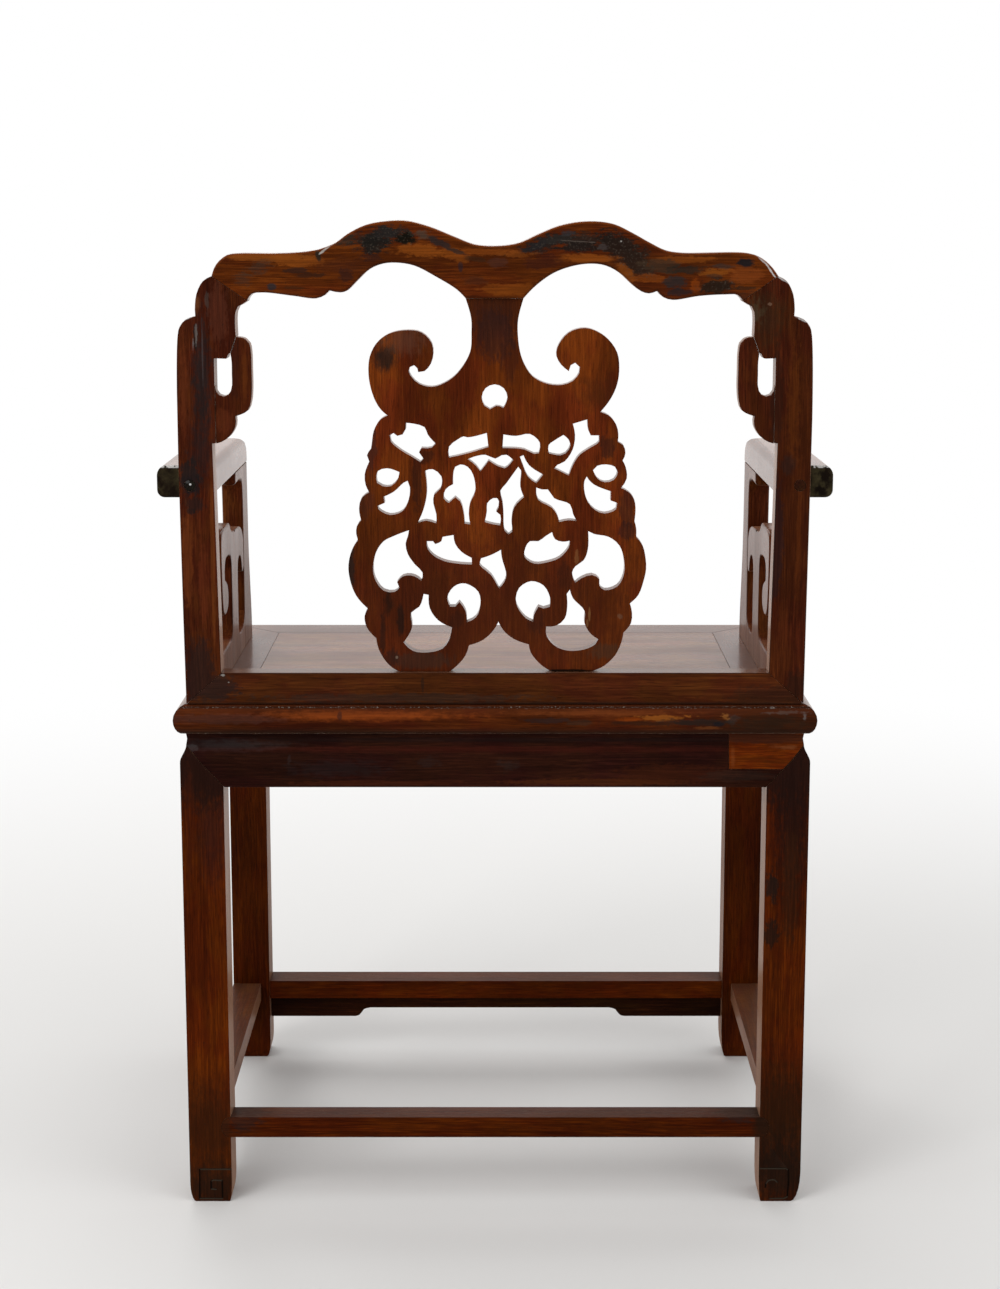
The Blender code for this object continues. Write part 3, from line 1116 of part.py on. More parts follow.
def build_back_frame(finish):
    low = SEAT_HEIGHT + GAP
    top_half = HALF_BACK - POST_FOOT_WIDTH
    rail_outline = [
        (-HALF_BACK + 2 * GAP, low), (HALF_BACK - 2 * GAP, low), (top_half - GAP, BACK_RAIL_TOP),
        (-top_half + GAP, BACK_RAIL_TOP),
    ]
    rail = board("back_bottom_rail", rail_outline, "y", BACK_FRONT, BACK_PLANE, finish=finish)
    for side in (1, -1):
        fuse(rail, rail_key(side, 0), back_rail_tenon(side, 0))
    for feet in (SPLAT_LEFT_FOOT_SHARES, SPLAT_RIGHT_FOOT_SHARES):
        cut(rail, splat_foot_tenon(feet, GAP))
    for name, side in (("back_post_left", 1), ("back_post_right", -1)):
        step_level = back_height(BRACKET_FOOT_SHARE)
        loop_level = back_height(LOOP_FOOT_SHARE)
        outline = [
            (HALF_BACK, low, CORNER), (top_half, BACK_RAIL_TOP, CORNER),
            (HALF_BACK - POST_WAIST_WIDTH, step_level - GAP, CORNER),
            (POST_STEP_SHARE * HALF_BACK, step_level, CORNER),
            (POST_STEP_SHARE * HALF_BACK, loop_level, CORNER),
        ]
        outline += back_points(POST_LOOP_SHARES + POST_HEAD_SHARES)
        outline += back_points(POST_LOBE_SHARES)
        points = smooth(outline)
        post = board(name, [(side * x, z) for x, z in points], "y", BACK_FRONT, BACK_PLANE, finish=finish)
        cut(post, rail_key(side, GAP), bracket_key(side, GAP), arm_tenon(side, GAP), peg(side, GAP))
        fuse(post, post_tenon(side, 0))
    top = smooth(back_points(CREST_TOP_SHARES), closed=False)
    under = smooth(back_points(CREST_UNDER_RIGHT_SHARES), closed=False)
    under += smooth(back_points(CREST_UNDER_LEFT_SHARES), closed=False)
    lift = GAP * math.sqrt(2)
    inner, outer = CREST_MITRE_SHARES
    mitred = [(x, z + lift if abs(x) > inner * HALF_BACK and z < back_height(outer) else z)
              for x, z in top + under]
    crest = board("crest_rail", mitred, "y", BACK_FRONT, BACK_PLANE, finish=finish)
    for side in (1, -1):
        cut(crest, post_tenon(side, GAP))
    cut(crest, splat_neck_tenon(GAP))


def build_brackets(finish):
    for name, side in (("post_bracket_left", 1), ("post_bracket_right", -1)):
        seam = POST_STEP_SHARE * HALF_BACK - GAP
        outline = back_points(BRACKET_SHARES)
        outline += [(seam, back_height(share), CORNER) for share in (BRACKET_FOOT_SHARE, LOOP_FOOT_SHARE)]
        outline += back_points(BRACKET_LOOP_SHARES)
        points = smooth(outline)
        bracket = board(name, [(side * (x - GAP), z - GAP) for x, z in points], "y",
                        BRACKET_BACK - BRACKET_THICKNESS, BRACKET_BACK, finish=finish)
        fuse(bracket, bracket_key(side, 0))


def build_splat(finish):
    foot = BACK_RAIL_TOP + GAP
    seam = back_height(NECK_SEAM_SHARE) - GAP
    outline = [(NECK_LEFT_SHARE * HALF_BACK, seam, CORNER)]
    outline += back_points(SPLAT_NECK_LEFT_SHARES + SPLAT_LEFT_SHARES)
    outline += [(share * HALF_BACK, foot, CORNER) for share in SPLAT_LEFT_FOOT_SHARES]
    outline += back_points(SPLAT_CROTCH_SHARES)
    outline += [(share * HALF_BACK, foot, CORNER) for share in SPLAT_RIGHT_FOOT_SHARES]
    outline += back_points(SPLAT_RIGHT_SHARES + SPLAT_NECK_RIGHT_SHARES)
    outline += [(NECK_RIGHT_SHARE * HALF_BACK, seam, CORNER)]
    openings = [smooth(back_points(shares)) for shares in OPENWORK_SHARES]
    splat = board("splat", smooth(outline), "y", SPLAT_BACK - SPLAT_THICKNESS, SPLAT_BACK, openings, finish)
    fuse(splat, splat_neck_tenon(0))
    for feet in (SPLAT_LEFT_FOOT_SHARES, SPLAT_RIGHT_FOOT_SHARES):
        fuse(splat, splat_foot_tenon(feet, 0))


# Arms

def rail_section():
    """(x, z) points of an arm rail: rounded edges, less so where its post meets it, and a crowned top."""
    low, high = ARM_UNDERSIDE, ARM_UNDERSIDE + ARM_RAIL_THICKNESS
    left, right, turn, small = ARM_INSIDE, ARM_OUTSIDE, ARM_RAIL_ROUND, ARM_RAIL_INNER_ROUND
    corners = ((right - turn, high - turn, 0, turn), (left + turn, high - turn, 90, turn),
               (left + small, low + small, 180, small), (right - turn, low + turn, 270, turn))
    points = []
    for cx, cz, start, radius in corners:
        for step in range(NOSE_FACETS + 1):
            angle = math.radians(start + 90 * step / NOSE_FACETS)
            points.append((cx + radius * math.cos(angle), cz + radius * math.sin(angle)))
    middle, half = (left + right) / 2, (right - left) / 2
    return [(x, z + ARM_RAIL_CROWN * (1 - ((x - middle) / half) ** 2) * (z > high - turn)) for x, z in points]


def rail_top_profile():
    """(y, z) outline that rounds the rail's front end down to a nose."""
    rear = BACK_FRONT - GAP
    front = BACK_FRONT - ARM_LENGTH
    top = ARM_UNDERSIDE + ARM_RAIL_THICKNESS + ARM_RAIL_CROWN
    bend = front + ARM_NOSE_LENGTH
    nose = quarter((bend, top), (front, ARM_UNDERSIDE + ARM_RAIL_ROUND))
    return ([(rear, ARM_UNDERSIDE - OVERRUN), (rear, top + OVERRUN), (bend, top + OVERRUN)] + nose
            + [(front, ARM_UNDERSIDE - OVERRUN)])


def rail_corner(side):
    """What is cut off an arm rail's front outer corner to round it in plan."""
    front = BACK_FRONT - ARM_LENGTH
    curve = quarter((front + ARM_CORNER_ROUND, ARM_OUTSIDE), (front, ARM_OUTSIDE - ARM_CORNER_ROUND))
    outline = [(ARM_OUTSIDE + OVERRUN, front + ARM_CORNER_ROUND)] + [(x, y) for y, x in curve]
    outline += [(ARM_OUTSIDE - ARM_CORNER_ROUND, front - OVERRUN), (ARM_OUTSIDE + OVERRUN, front - OVERRUN)]
    return board("rail_corner", [(side * x, y) for x, y in outline], "z", ARM_UNDERSIDE - OVERRUN,
                 ARM_UNDERSIDE + ARM_RAIL_THICKNESS + OVERRUN)


def support_tenon(side, clearance):
    """The tenon on an arm support's top, up into the arm rail."""
    x = side * (ARM_INSIDE + FRET_THICKNESS / 2)
    y = BACK_FRONT - ARM_LENGTH * (SUPPORT_REAR_SHARE + 1) / 2 + SUPPORT_TENON_LENGTH / 2
    half_width = SUPPORT_TENON_WIDTH / 2 + clearance
    half_length = SUPPORT_TENON_LENGTH / 2 + clearance
    return block(
        (x - half_width, y - half_length, ARM_UNDERSIDE - OVERRUN),
        (x + half_width, y + half_length, ARM_UNDERSIDE + SUPPORT_TENON + clearance),
    )


def fret_key(side, share, clearance):
    """A key on the front fret's edge at a share of the arm's length, into its neighbour."""
    x = side * (ARM_INSIDE + FRET_THICKNESS / 2)
    y = BACK_FRONT - GAP - share * ARM_LENGTH
    height_share = FRET_REAR_KEY_SHARE if share < SUPPORT_REAR_SHARE else FRET_FRONT_KEY_SHARE
    z = SEAT_HEIGHT + height_share * ARM_HEIGHT
    half_width = FRET_KEY_THICKNESS / 2 + clearance
    half_height = FRET_KEY_HEIGHT / 2 + clearance
    reach = FRET_KEY + clearance
    return block((x - half_width, y - reach, z - half_height), (x + half_width, y + reach, z + half_height))


def build_arms(finish, peg_finish):
    for hand, side in (("left", 1), ("right", -1)):
        rings = [[(side * x, y, z) for x, z in rail_section()]
                 for y in (BACK_FRONT - GAP, BACK_FRONT - ARM_LENGTH - OVERRUN)]
        rail = loft("arm_rail_" + hand, rings, finish)
        across = sorted((side * (ARM_INSIDE - OVERRUN), side * (ARM_OUTSIDE + OVERRUN)))
        keep_inside(rail, board("profile", rail_top_profile(), "x", across[0], across[1]))
        cut(rail, rail_corner(side))
        fuse(rail, arm_tenon(side, 0))
        cut(rail, peg(side, GAP), support_tenon(side, GAP))

        panel = sorted((side * ARM_INSIDE, side * FRET_OUTSIDE))
        support = board("arm_front_post_" + hand, smooth(arm_points(SUPPORT_SHARES)), "x",
                        panel[0], panel[1], finish=finish)
        fuse(support, support_tenon(side, 0), arm_seat_tenon(side, "support", 0))
        cut(support, fret_key(side, SUPPORT_REAR_SHARE, GAP))

        rear = board("arm_fret_rear_" + hand, smooth(arm_points(REAR_FRET_SHARES)), "x",
                     panel[0], panel[1], finish=finish)
        fuse(rear, arm_seat_tenon(side, "rear", 0), arm_seat_tenon(side, "rear_two", 0))
        cut(rear, fret_key(side, FRET_SEAM_SHARE, GAP))

        front_points = smooth(arm_points(FRONT_FRET_SHARES))
        rear_edge = max(y for y, z in front_points)
        front_edge = min(y for y, z in front_points)
        front_points = [
            (y - GAP if y > rear_edge - GAP / 2 else y + GAP if y < front_edge + GAP / 2 else y, z)
            for y, z in front_points
        ]
        front = board("arm_fret_front_" + hand, front_points, "x", panel[0], panel[1], finish=finish)
        fuse(front, arm_seat_tenon(side, "front", 0))
        fuse(front, fret_key(side, FRET_SEAM_SHARE, 0), fret_key(side, SUPPORT_REAR_SHARE, 0))

        peg(side, 0, GAP, peg_finish, "arm_peg_" + hand)


def main():
    clear_scene()
    rosewood = wood("rosewood", (0.110, 0.030, 0.012), 0.35)
    repair_wood = wood("repair_wood", (0.150, 0.036, 0.012), 0.38)
    plug_wood = wood("plug_wood", (0.020, 0.012, 0.010), 0.30)
    build_seat(rosewood)
    build_aprons(rosewood, repair_wood)
    build_legs(rosewood)
    build_stretchers(rosewood)
    build_back_frame(rosewood)
    build_brackets(rosewood)
    build_splat(rosewood)
    build_arms(rosewood, plug_wood)


main()
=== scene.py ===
"""Oriental armchair in dark rosewood: every piece of the frame dressed with rounded edges, grain,
old stains, worn lacquer, painted highlights and painted shade, on a plain pale floor. Metres,
+Z up, the chair faces -Y."""
import math

import bmesh
import bpy
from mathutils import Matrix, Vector
from mathutils.bvhtree import BVHTree


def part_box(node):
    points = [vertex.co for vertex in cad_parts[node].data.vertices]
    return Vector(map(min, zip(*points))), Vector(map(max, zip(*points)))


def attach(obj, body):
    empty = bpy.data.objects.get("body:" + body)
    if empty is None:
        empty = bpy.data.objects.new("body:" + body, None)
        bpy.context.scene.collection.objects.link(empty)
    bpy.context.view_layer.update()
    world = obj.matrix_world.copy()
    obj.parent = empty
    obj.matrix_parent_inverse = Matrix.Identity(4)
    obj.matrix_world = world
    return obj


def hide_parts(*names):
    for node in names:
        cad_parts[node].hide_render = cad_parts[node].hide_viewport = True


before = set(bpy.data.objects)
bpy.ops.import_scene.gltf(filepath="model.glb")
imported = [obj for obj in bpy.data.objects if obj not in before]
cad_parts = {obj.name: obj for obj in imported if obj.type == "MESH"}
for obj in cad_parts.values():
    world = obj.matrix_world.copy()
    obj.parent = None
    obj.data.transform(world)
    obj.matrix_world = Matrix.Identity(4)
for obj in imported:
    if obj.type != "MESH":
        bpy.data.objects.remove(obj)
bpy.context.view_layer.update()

# The Y of some faces of the chair: the back frame, legs and rear apron, the splat's two faces, the
# seat frame's rounded nose, the let-in repair, the rear stretcher and the ends of the arm rails
BACK_FACE = 0.2225
SPLAT_FACE = 0.2165
SPLAT_FRONT = 0.2015
NOSE_FACE = 0.231
PATCH_FACE = 0.222
STRETCHER_FACE = 0.2065
ARM_END = 0.1962
ARM_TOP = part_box("arm_rail_left")[1].z

# How far below the top of an arm rail the painted highlight along its end starts and ends, and how
# far behind a face the dust of a seam starts and ends
HIGHLIGHT_START, HIGHLIGHT_END = 0.0027, 0.0019
DUST_START = (-0.0002, 0.0006)
DUST_END = (0.0014, 0.0032)

# Distances, angles and slopes used while dressing the pieces
WELD = 0.00002
SEAM_REACH = 0.0009
SEAM_ROUNDING = 0.00022
FLAT = math.radians(0.6)
SHARP = math.radians(27)
SMOOTH = math.radians(38)
SEAM_GRIME = -0.9
EDGE_SLOPE = 1.2
LEVEL_FACE = 0.95
WALL_FACE = 0.5
FOOT_TOP = 0.032
FOOT_INSET = 0.012
CARVING_TOP = 0.040
CARVING_DEPTH = 0.0012
CARVED_WIDTH = 0.0013


# Shader building

def feed(tree, made, inputs):
    """Give the inputs of a node, by name or number, their values, or link them to outputs."""
    for key, value in inputs.items():
        if isinstance(value, bpy.types.NodeSocket):
            tree.links.new(value, made.inputs[key])
        else:
            made.inputs[key].default_value = value


def node(tree, kind, inputs=None, **settings):
    made = tree.nodes.new("ShaderNode" + kind)
    for key, value in settings.items():
        setattr(made, key, value)
    feed(tree, made, inputs or {})
    return made


def maths(tree, operation, first, second=0.0, third=None, clamp=False):
    inputs = {0: first, 1: second}
    if third is not None:
        inputs[2] = third
    return node(tree, "Math", inputs, operation=operation, use_clamp=clamp).outputs[0]


def times(tree, first, *others):
    for other in others:
        first = maths(tree, "MULTIPLY", first, other)
    return first


def vector_maths(tree, operation, first, second=(0.0, 0.0, 0.0)):
    made = node(tree, "VectorMath", {0: first, 1: second}, operation=operation)
    return made.outputs["Value" if operation == "LENGTH" else "Vector"]


def ramp(tree, value, low, high, to_low=0.0, to_high=1.0):
    made = node(tree, "MapRange", {0: value, 1: low, 2: high, 3: to_low, 4: to_high},
                interpolation_type="SMOOTHSTEP")
    return made.outputs[0]


def noise(tree, place, scale=1.0, detail=2.0, roughness=0.5):
    made = node(tree, "TexNoise", {"Vector": place, "Scale": scale, "Detail": detail,
                                   "Roughness": roughness})
    return made.outputs[0]


def stretched_noise(tree, place, scales, detail, roughness=0.5):
    return noise(tree, vector_maths(tree, "MULTIPLY", place, scales), 1.0, detail, roughness)


def axis(tree, vector, number):
    return node(tree, "SeparateXYZ", {0: vector}).outputs[number]


def blend(tree, share, first, second):
    """Mix two colours by share."""
    made = node(tree, "Mix", data_type="RGBA")
    first, second = ((*colour, 1.0) if isinstance(colour, tuple) else colour
                     for colour in (first, second))
    feed(tree, made, {0: share, 6: first, 7: second})
    return made.outputs[2]


def new_group(name, takes, gives):
    """Start a node group: takes and gives list (name, kind) of its sockets."""
    group = bpy.data.node_groups.new(name, "ShaderNodeTree")
    for direction, sockets in (("INPUT", takes), ("OUTPUT", gives)):
        for socket_name, kind in sockets:
            group.interface.new_socket(socket_name, in_out=direction,
                                       socket_type="NodeSocket" + kind)
    ins = group.nodes.new("NodeGroupInput")
    outs = group.nodes.new("NodeGroupOutput")
    return group, ins.outputs, outs.inputs


def use_group(tree, group, inputs):
    made = tree.nodes.new("ShaderNodeGroup")
    made.node_tree = group
    feed(tree, made, inputs)
    return made.outputs


# How often each part of the grain and of its age changes in a metre, along and across the grain
DRIFT_SCALES = (2.2, 9.0, 9.0)
BAND_SCALES = (1.6, 42.0, 42.0)
LINE_SCALES = (3.0, 170.0, 170.0)
FIBRE_SCALES = (22.0, 620.0, 620.0)
PORE_SCALES = (90.0, 1300.0, 1300.0)
BLOTCH_SCALES = (6.0, 15.0, 15.0)
WARMTH_SCALES = (17.0, 34.0, 34.0)
TEAR_SCALES = (110.0, 260.0, 260.0)
RUBBED_SCALE = 95.0
SPECK_SCALE = 480.0
FLAKE_SCALE = 520.0
PIT_SCALE = 230.0
END_HIGHLIGHT_SCALE = 210.0
DUST_SCALE = 900.0


def grain_group():
    """Rosewood figure that runs along the X of Place: broad bands, dark lines, fibres and pores."""
    group, takes, gives = new_group(
        "rosewood_grain", (("Place", "Vector"), ("Waviness", "Float")),
        (("Bands", "Float"), ("Lines", "Float"), ("Fibres", "Float"), ("Pores", "Float")))
    drift = stretched_noise(group, takes["Place"], DRIFT_SCALES, 2.0)
    sway = times(group, maths(group, "SUBTRACT", drift, 0.5), takes["Waviness"])
    shift = node(group, "CombineXYZ", {0: 0.0, 1: sway, 2: sway}).outputs[0]
    swayed = vector_maths(group, "ADD", takes["Place"], shift)
    bands = stretched_noise(group, swayed, BAND_SCALES, 3.0, 0.55)
    fine = stretched_noise(group, swayed, LINE_SCALES, 3.0, 0.6)
    fibres = stretched_noise(group, swayed, FIBRE_SCALES, 3.0, 0.65)
    dashes = stretched_noise(group, swayed, PORE_SCALES, 0.0)
    group.links.new(ramp(group, bands, 0.28, 0.72), gives["Bands"])
    group.links.new(ramp(group, fine, 0.54, 0.72), gives["Lines"])
    group.links.new(fibres, gives["Fibres"])
    group.links.new(ramp(group, dashes, 0.60, 0.72), gives["Pores"])
    return group


def age_group():
    """Age of the surface: soft blotches along the grain, dark specks, rubbed places and drifting
    warmth."""
    group, takes, gives = new_group(
        "age_of_lacquer", (("Place", "Vector"),),
        (("Blotches", "Float"), ("Specks", "Float"), ("Rubbed", "Float"), ("Warmth", "Float")))
    soft = stretched_noise(group, takes["Place"], BLOTCH_SCALES, 3.0, 0.55)
    small = noise(group, takes["Place"], RUBBED_SCALE, 3.0, 0.6)
    tiny = noise(group, takes["Place"], SPECK_SCALE, 1.0)
    specks = times(group, ramp(group, tiny, 0.66, 0.74), ramp(group, small, 0.50, 0.64))
    warm = stretched_noise(group, takes["Place"], WARMTH_SCALES, 4.0, 0.6)
    group.links.new(ramp(group, soft, 0.32, 0.68), gives["Blotches"])
    group.links.new(specks, gives["Specks"])
    group.links.new(ramp(group, small, 0.36, 0.60), gives["Rubbed"])
    group.links.new(ramp(group, warm, 0.34, 0.66), gives["Warmth"])
    return group


# Where a stain ends, as a share of its half size
STAIN_EDGE = 1.15


def patch_group():
    """A stain: Strength inside, 0 outside. Lean tilts it in the plane of the back, Ragged tears its
    edge by Torn, and Soft is the width of that edge as a share of the stain."""
    group, takes, gives = new_group(
        "stain_patch",
        (("Place", "Vector"), ("Torn", "Float"), ("Centre", "Vector"), ("Reach", "Vector"),
         ("Lean", "Float"), ("Ragged", "Float"), ("Strength", "Float"), ("Soft", "Float")),
        (("Mask", "Float"),))
    lean = node(group, "CombineXYZ", {0: 0.0, 1: takes["Lean"], 2: 0.0}).outputs[0]
    local = node(group, "Mapping", {"Vector": takes["Place"], "Location": takes["Centre"],
                                    "Rotation": lean, "Scale": takes["Reach"]},
                 vector_type="TEXTURE").outputs[0]
    reach = vector_maths(group, "LENGTH", local)
    edge = maths(group, "MULTIPLY_ADD", takes["Torn"], takes["Ragged"], reach)
    inner = maths(group, "SUBTRACT", STAIN_EDGE, takes["Soft"])
    group.links.new(ramp(group, edge, inner, STAIN_EDGE, takes["Strength"], 0.0), gives["Mask"])
    return group


GRAIN = grain_group()
AGE = age_group()
STAIN = patch_group()

# How far each grain direction is turned to lie along the X of the grain group
GRAIN_TURNS = {"across": (0.0, 0.0, 0.0), "deep": (0.0, 0.0, math.radians(90)),
               "upright": (0.0, math.radians(90), 0.0)}

# How much darker or lighter than its average tone the wood gets, as shares of red, green and blue
DARKER = (-0.34, -0.38, -0.30)
BRIGHTER = (0.22, 0.22, 0.15)
LIGHTEST = (0.75, 1.00, 0.90)
LINE_SHARES = (0.75, 0.75, 0.8)
PORE_SHARES = (0.4, 0.4, 0.4)
# the painted highlight of faces that look up, and the wear of rounded edges with a painted
# highlight where they face up
TOP_HIGHLIGHT_SHARES = (2.6, 3.6, 6.0)
WEAR_AND_HIGHLIGHT_SHARES = (2.0, 2.4, 2.4)

# Colours that lie on the wood, among them painted highlights, painted shade and a painted
# reflection
# dark specks and grime, also used as painted shade under things, on edges that face down and inside
# joints
GRIME_AND_SHADE = (0.012, 0.006, 0.004)
FLAKES = (0.052, 0.040, 0.030)
END_SOOT = (0.0055, 0.0040, 0.0025)
END_BROWN = (0.050, 0.041, 0.019)
END_HIGHLIGHT = (0.62, 0.61, 0.59)
CARVED_HIGHLIGHT = (0.034, 0.028, 0.020)
CARVED_SHADE = (0.003, 0.002, 0.0015)
SEAM_DUST = (0.34, 0.30, 0.26)
GLANCE_REFLECTION_TAN = (0.33, 0.180, 0.105)
SHEEN_TINT = (1.0, 0.50, 0.30, 1.0)

COAT_ROUGHNESS = 0.16
SPECULAR_LEVEL = 0.02
SHEEN_WEIGHT = 0.22
SHEEN_ROUGHNESS = 0.35
BUMP_STRENGTH = 0.5
BUMP_DEPTH = 0.0006


def tinted(colour, shares):
    return tuple(part * share for part, share in zip(colour, shares))


def figured(tone, shares, depth):
    return tinted(tone, [1 + share * depth for share in shares])


def wood_colour(tree, figure, age, tone, depth, lines, pores, blotches, warmth):
    """The clean wood: bands, light fibres, dark lines and pores, with blotches and drifts of
    warmth."""
    dark = figured(tone, DARKER, depth)
    colour = blend(tree, figure["Bands"], dark, figured(tone, BRIGHTER, depth))
    colour = blend(tree, ramp(tree, figure["Fibres"], 0.44, 0.76, 0.0, 0.60), colour,
                   figured(tone, LIGHTEST, depth))
    colour = blend(tree, times(tree, figure["Lines"], lines), colour, tinted(dark, LINE_SHARES))
    colour = blend(tree, times(tree, figure["Pores"], pores), colour, tinted(dark, PORE_SHARES))
    shade = ramp(tree, age["Blotches"], 0.0, 1.0, 1.0 - blotches, 1.0 + 0.6 * blotches)
    hue = ramp(tree, age["Warmth"], 0.0, 1.0, 1.0 - 0.30 * warmth, 1.0 + 0.50 * warmth)
    redness = ramp(tree, age["Warmth"], 0.0, 1.0, 1.0 - 0.12 * warmth, 1.0 + 0.18 * warmth)
    drift = node(tree, "CombineXYZ", {0: times(tree, shade, redness), 1: times(tree, shade, hue),
                                      2: shade}).outputs[0]
    return vector_maths(tree, "MULTIPLY", colour, drift)


def stained(tree, colour, place, turned, stains, rotten):
    """A colour under its stains, painted highlights and painted shade, and where the wood is
    rotten, or None.
    """
    rot = None
    if stains or rotten:
        torn = maths(tree, "MULTIPLY_ADD",
                     stretched_noise(tree, turned, TEAR_SCALES, 5.0, 0.72), 1.7, -0.85)
    for number, (*shape, tint) in enumerate(rotten + stains):
        inputs = dict(zip(("Centre", "Reach", "Lean", "Ragged", "Strength", "Soft"), shape))
        mask = use_group(tree, STAIN, {"Place": place, "Torn": torn, **inputs})["Mask"]
        colour = blend(tree, mask, colour, tint)
        if number < len(rotten):
            rot = mask if rot is None else maths(tree, "MAXIMUM", rot, mask)
    if rot is not None:
        flakes = ramp(tree, noise(tree, place, FLAKE_SCALE, 3.0, 0.65), 0.54, 0.66, 0.0, 0.6)
        colour = blend(tree, times(tree, rot, rot, flakes), colour, FLAKES)
    return colour, rot


def blackened(tree, colour, place, age, end):
    """A colour with a sooty end, and a broken pale line painted as a highlight along the top edge
    of the arm rail.
    """
    sooty = blend(tree, times(tree, age["Rubbed"], age["Warmth"]), END_SOOT, END_BROWN)
    # a painted highlight: a broken pale line along the top of the black end
    top = ramp(tree, axis(tree, place, 2), ARM_TOP - HIGHLIGHT_START, ARM_TOP - HIGHLIGHT_END)
    glints = ramp(tree, noise(tree, place, END_HIGHLIGHT_SCALE), 0.42, 0.56)
    sooty = blend(tree, times(tree, top, glints), sooty, END_HIGHLIGHT)
    return blend(tree, times(tree, end, 0.97), colour, sooty)


def dusty(tree, colour, place, dust):
    """A colour with grime and grains of dust in the seam behind the Y of dust."""
    back = axis(tree, place, 1)
    start, end = ([dust + gap for gap in gaps] for gaps in (DUST_START, DUST_END))
    seam = times(tree, ramp(tree, back, *start), ramp(tree, back, *end, 1.0, 0.0))
    grains = ramp(tree, noise(tree, place, DUST_SCALE), 0.60, 0.70)
    colour = blend(tree, times(tree, seam, 0.7), colour, GRIME_AND_SHADE)
    return blend(tree, times(tree, seam, grains), colour, SEAM_DUST)


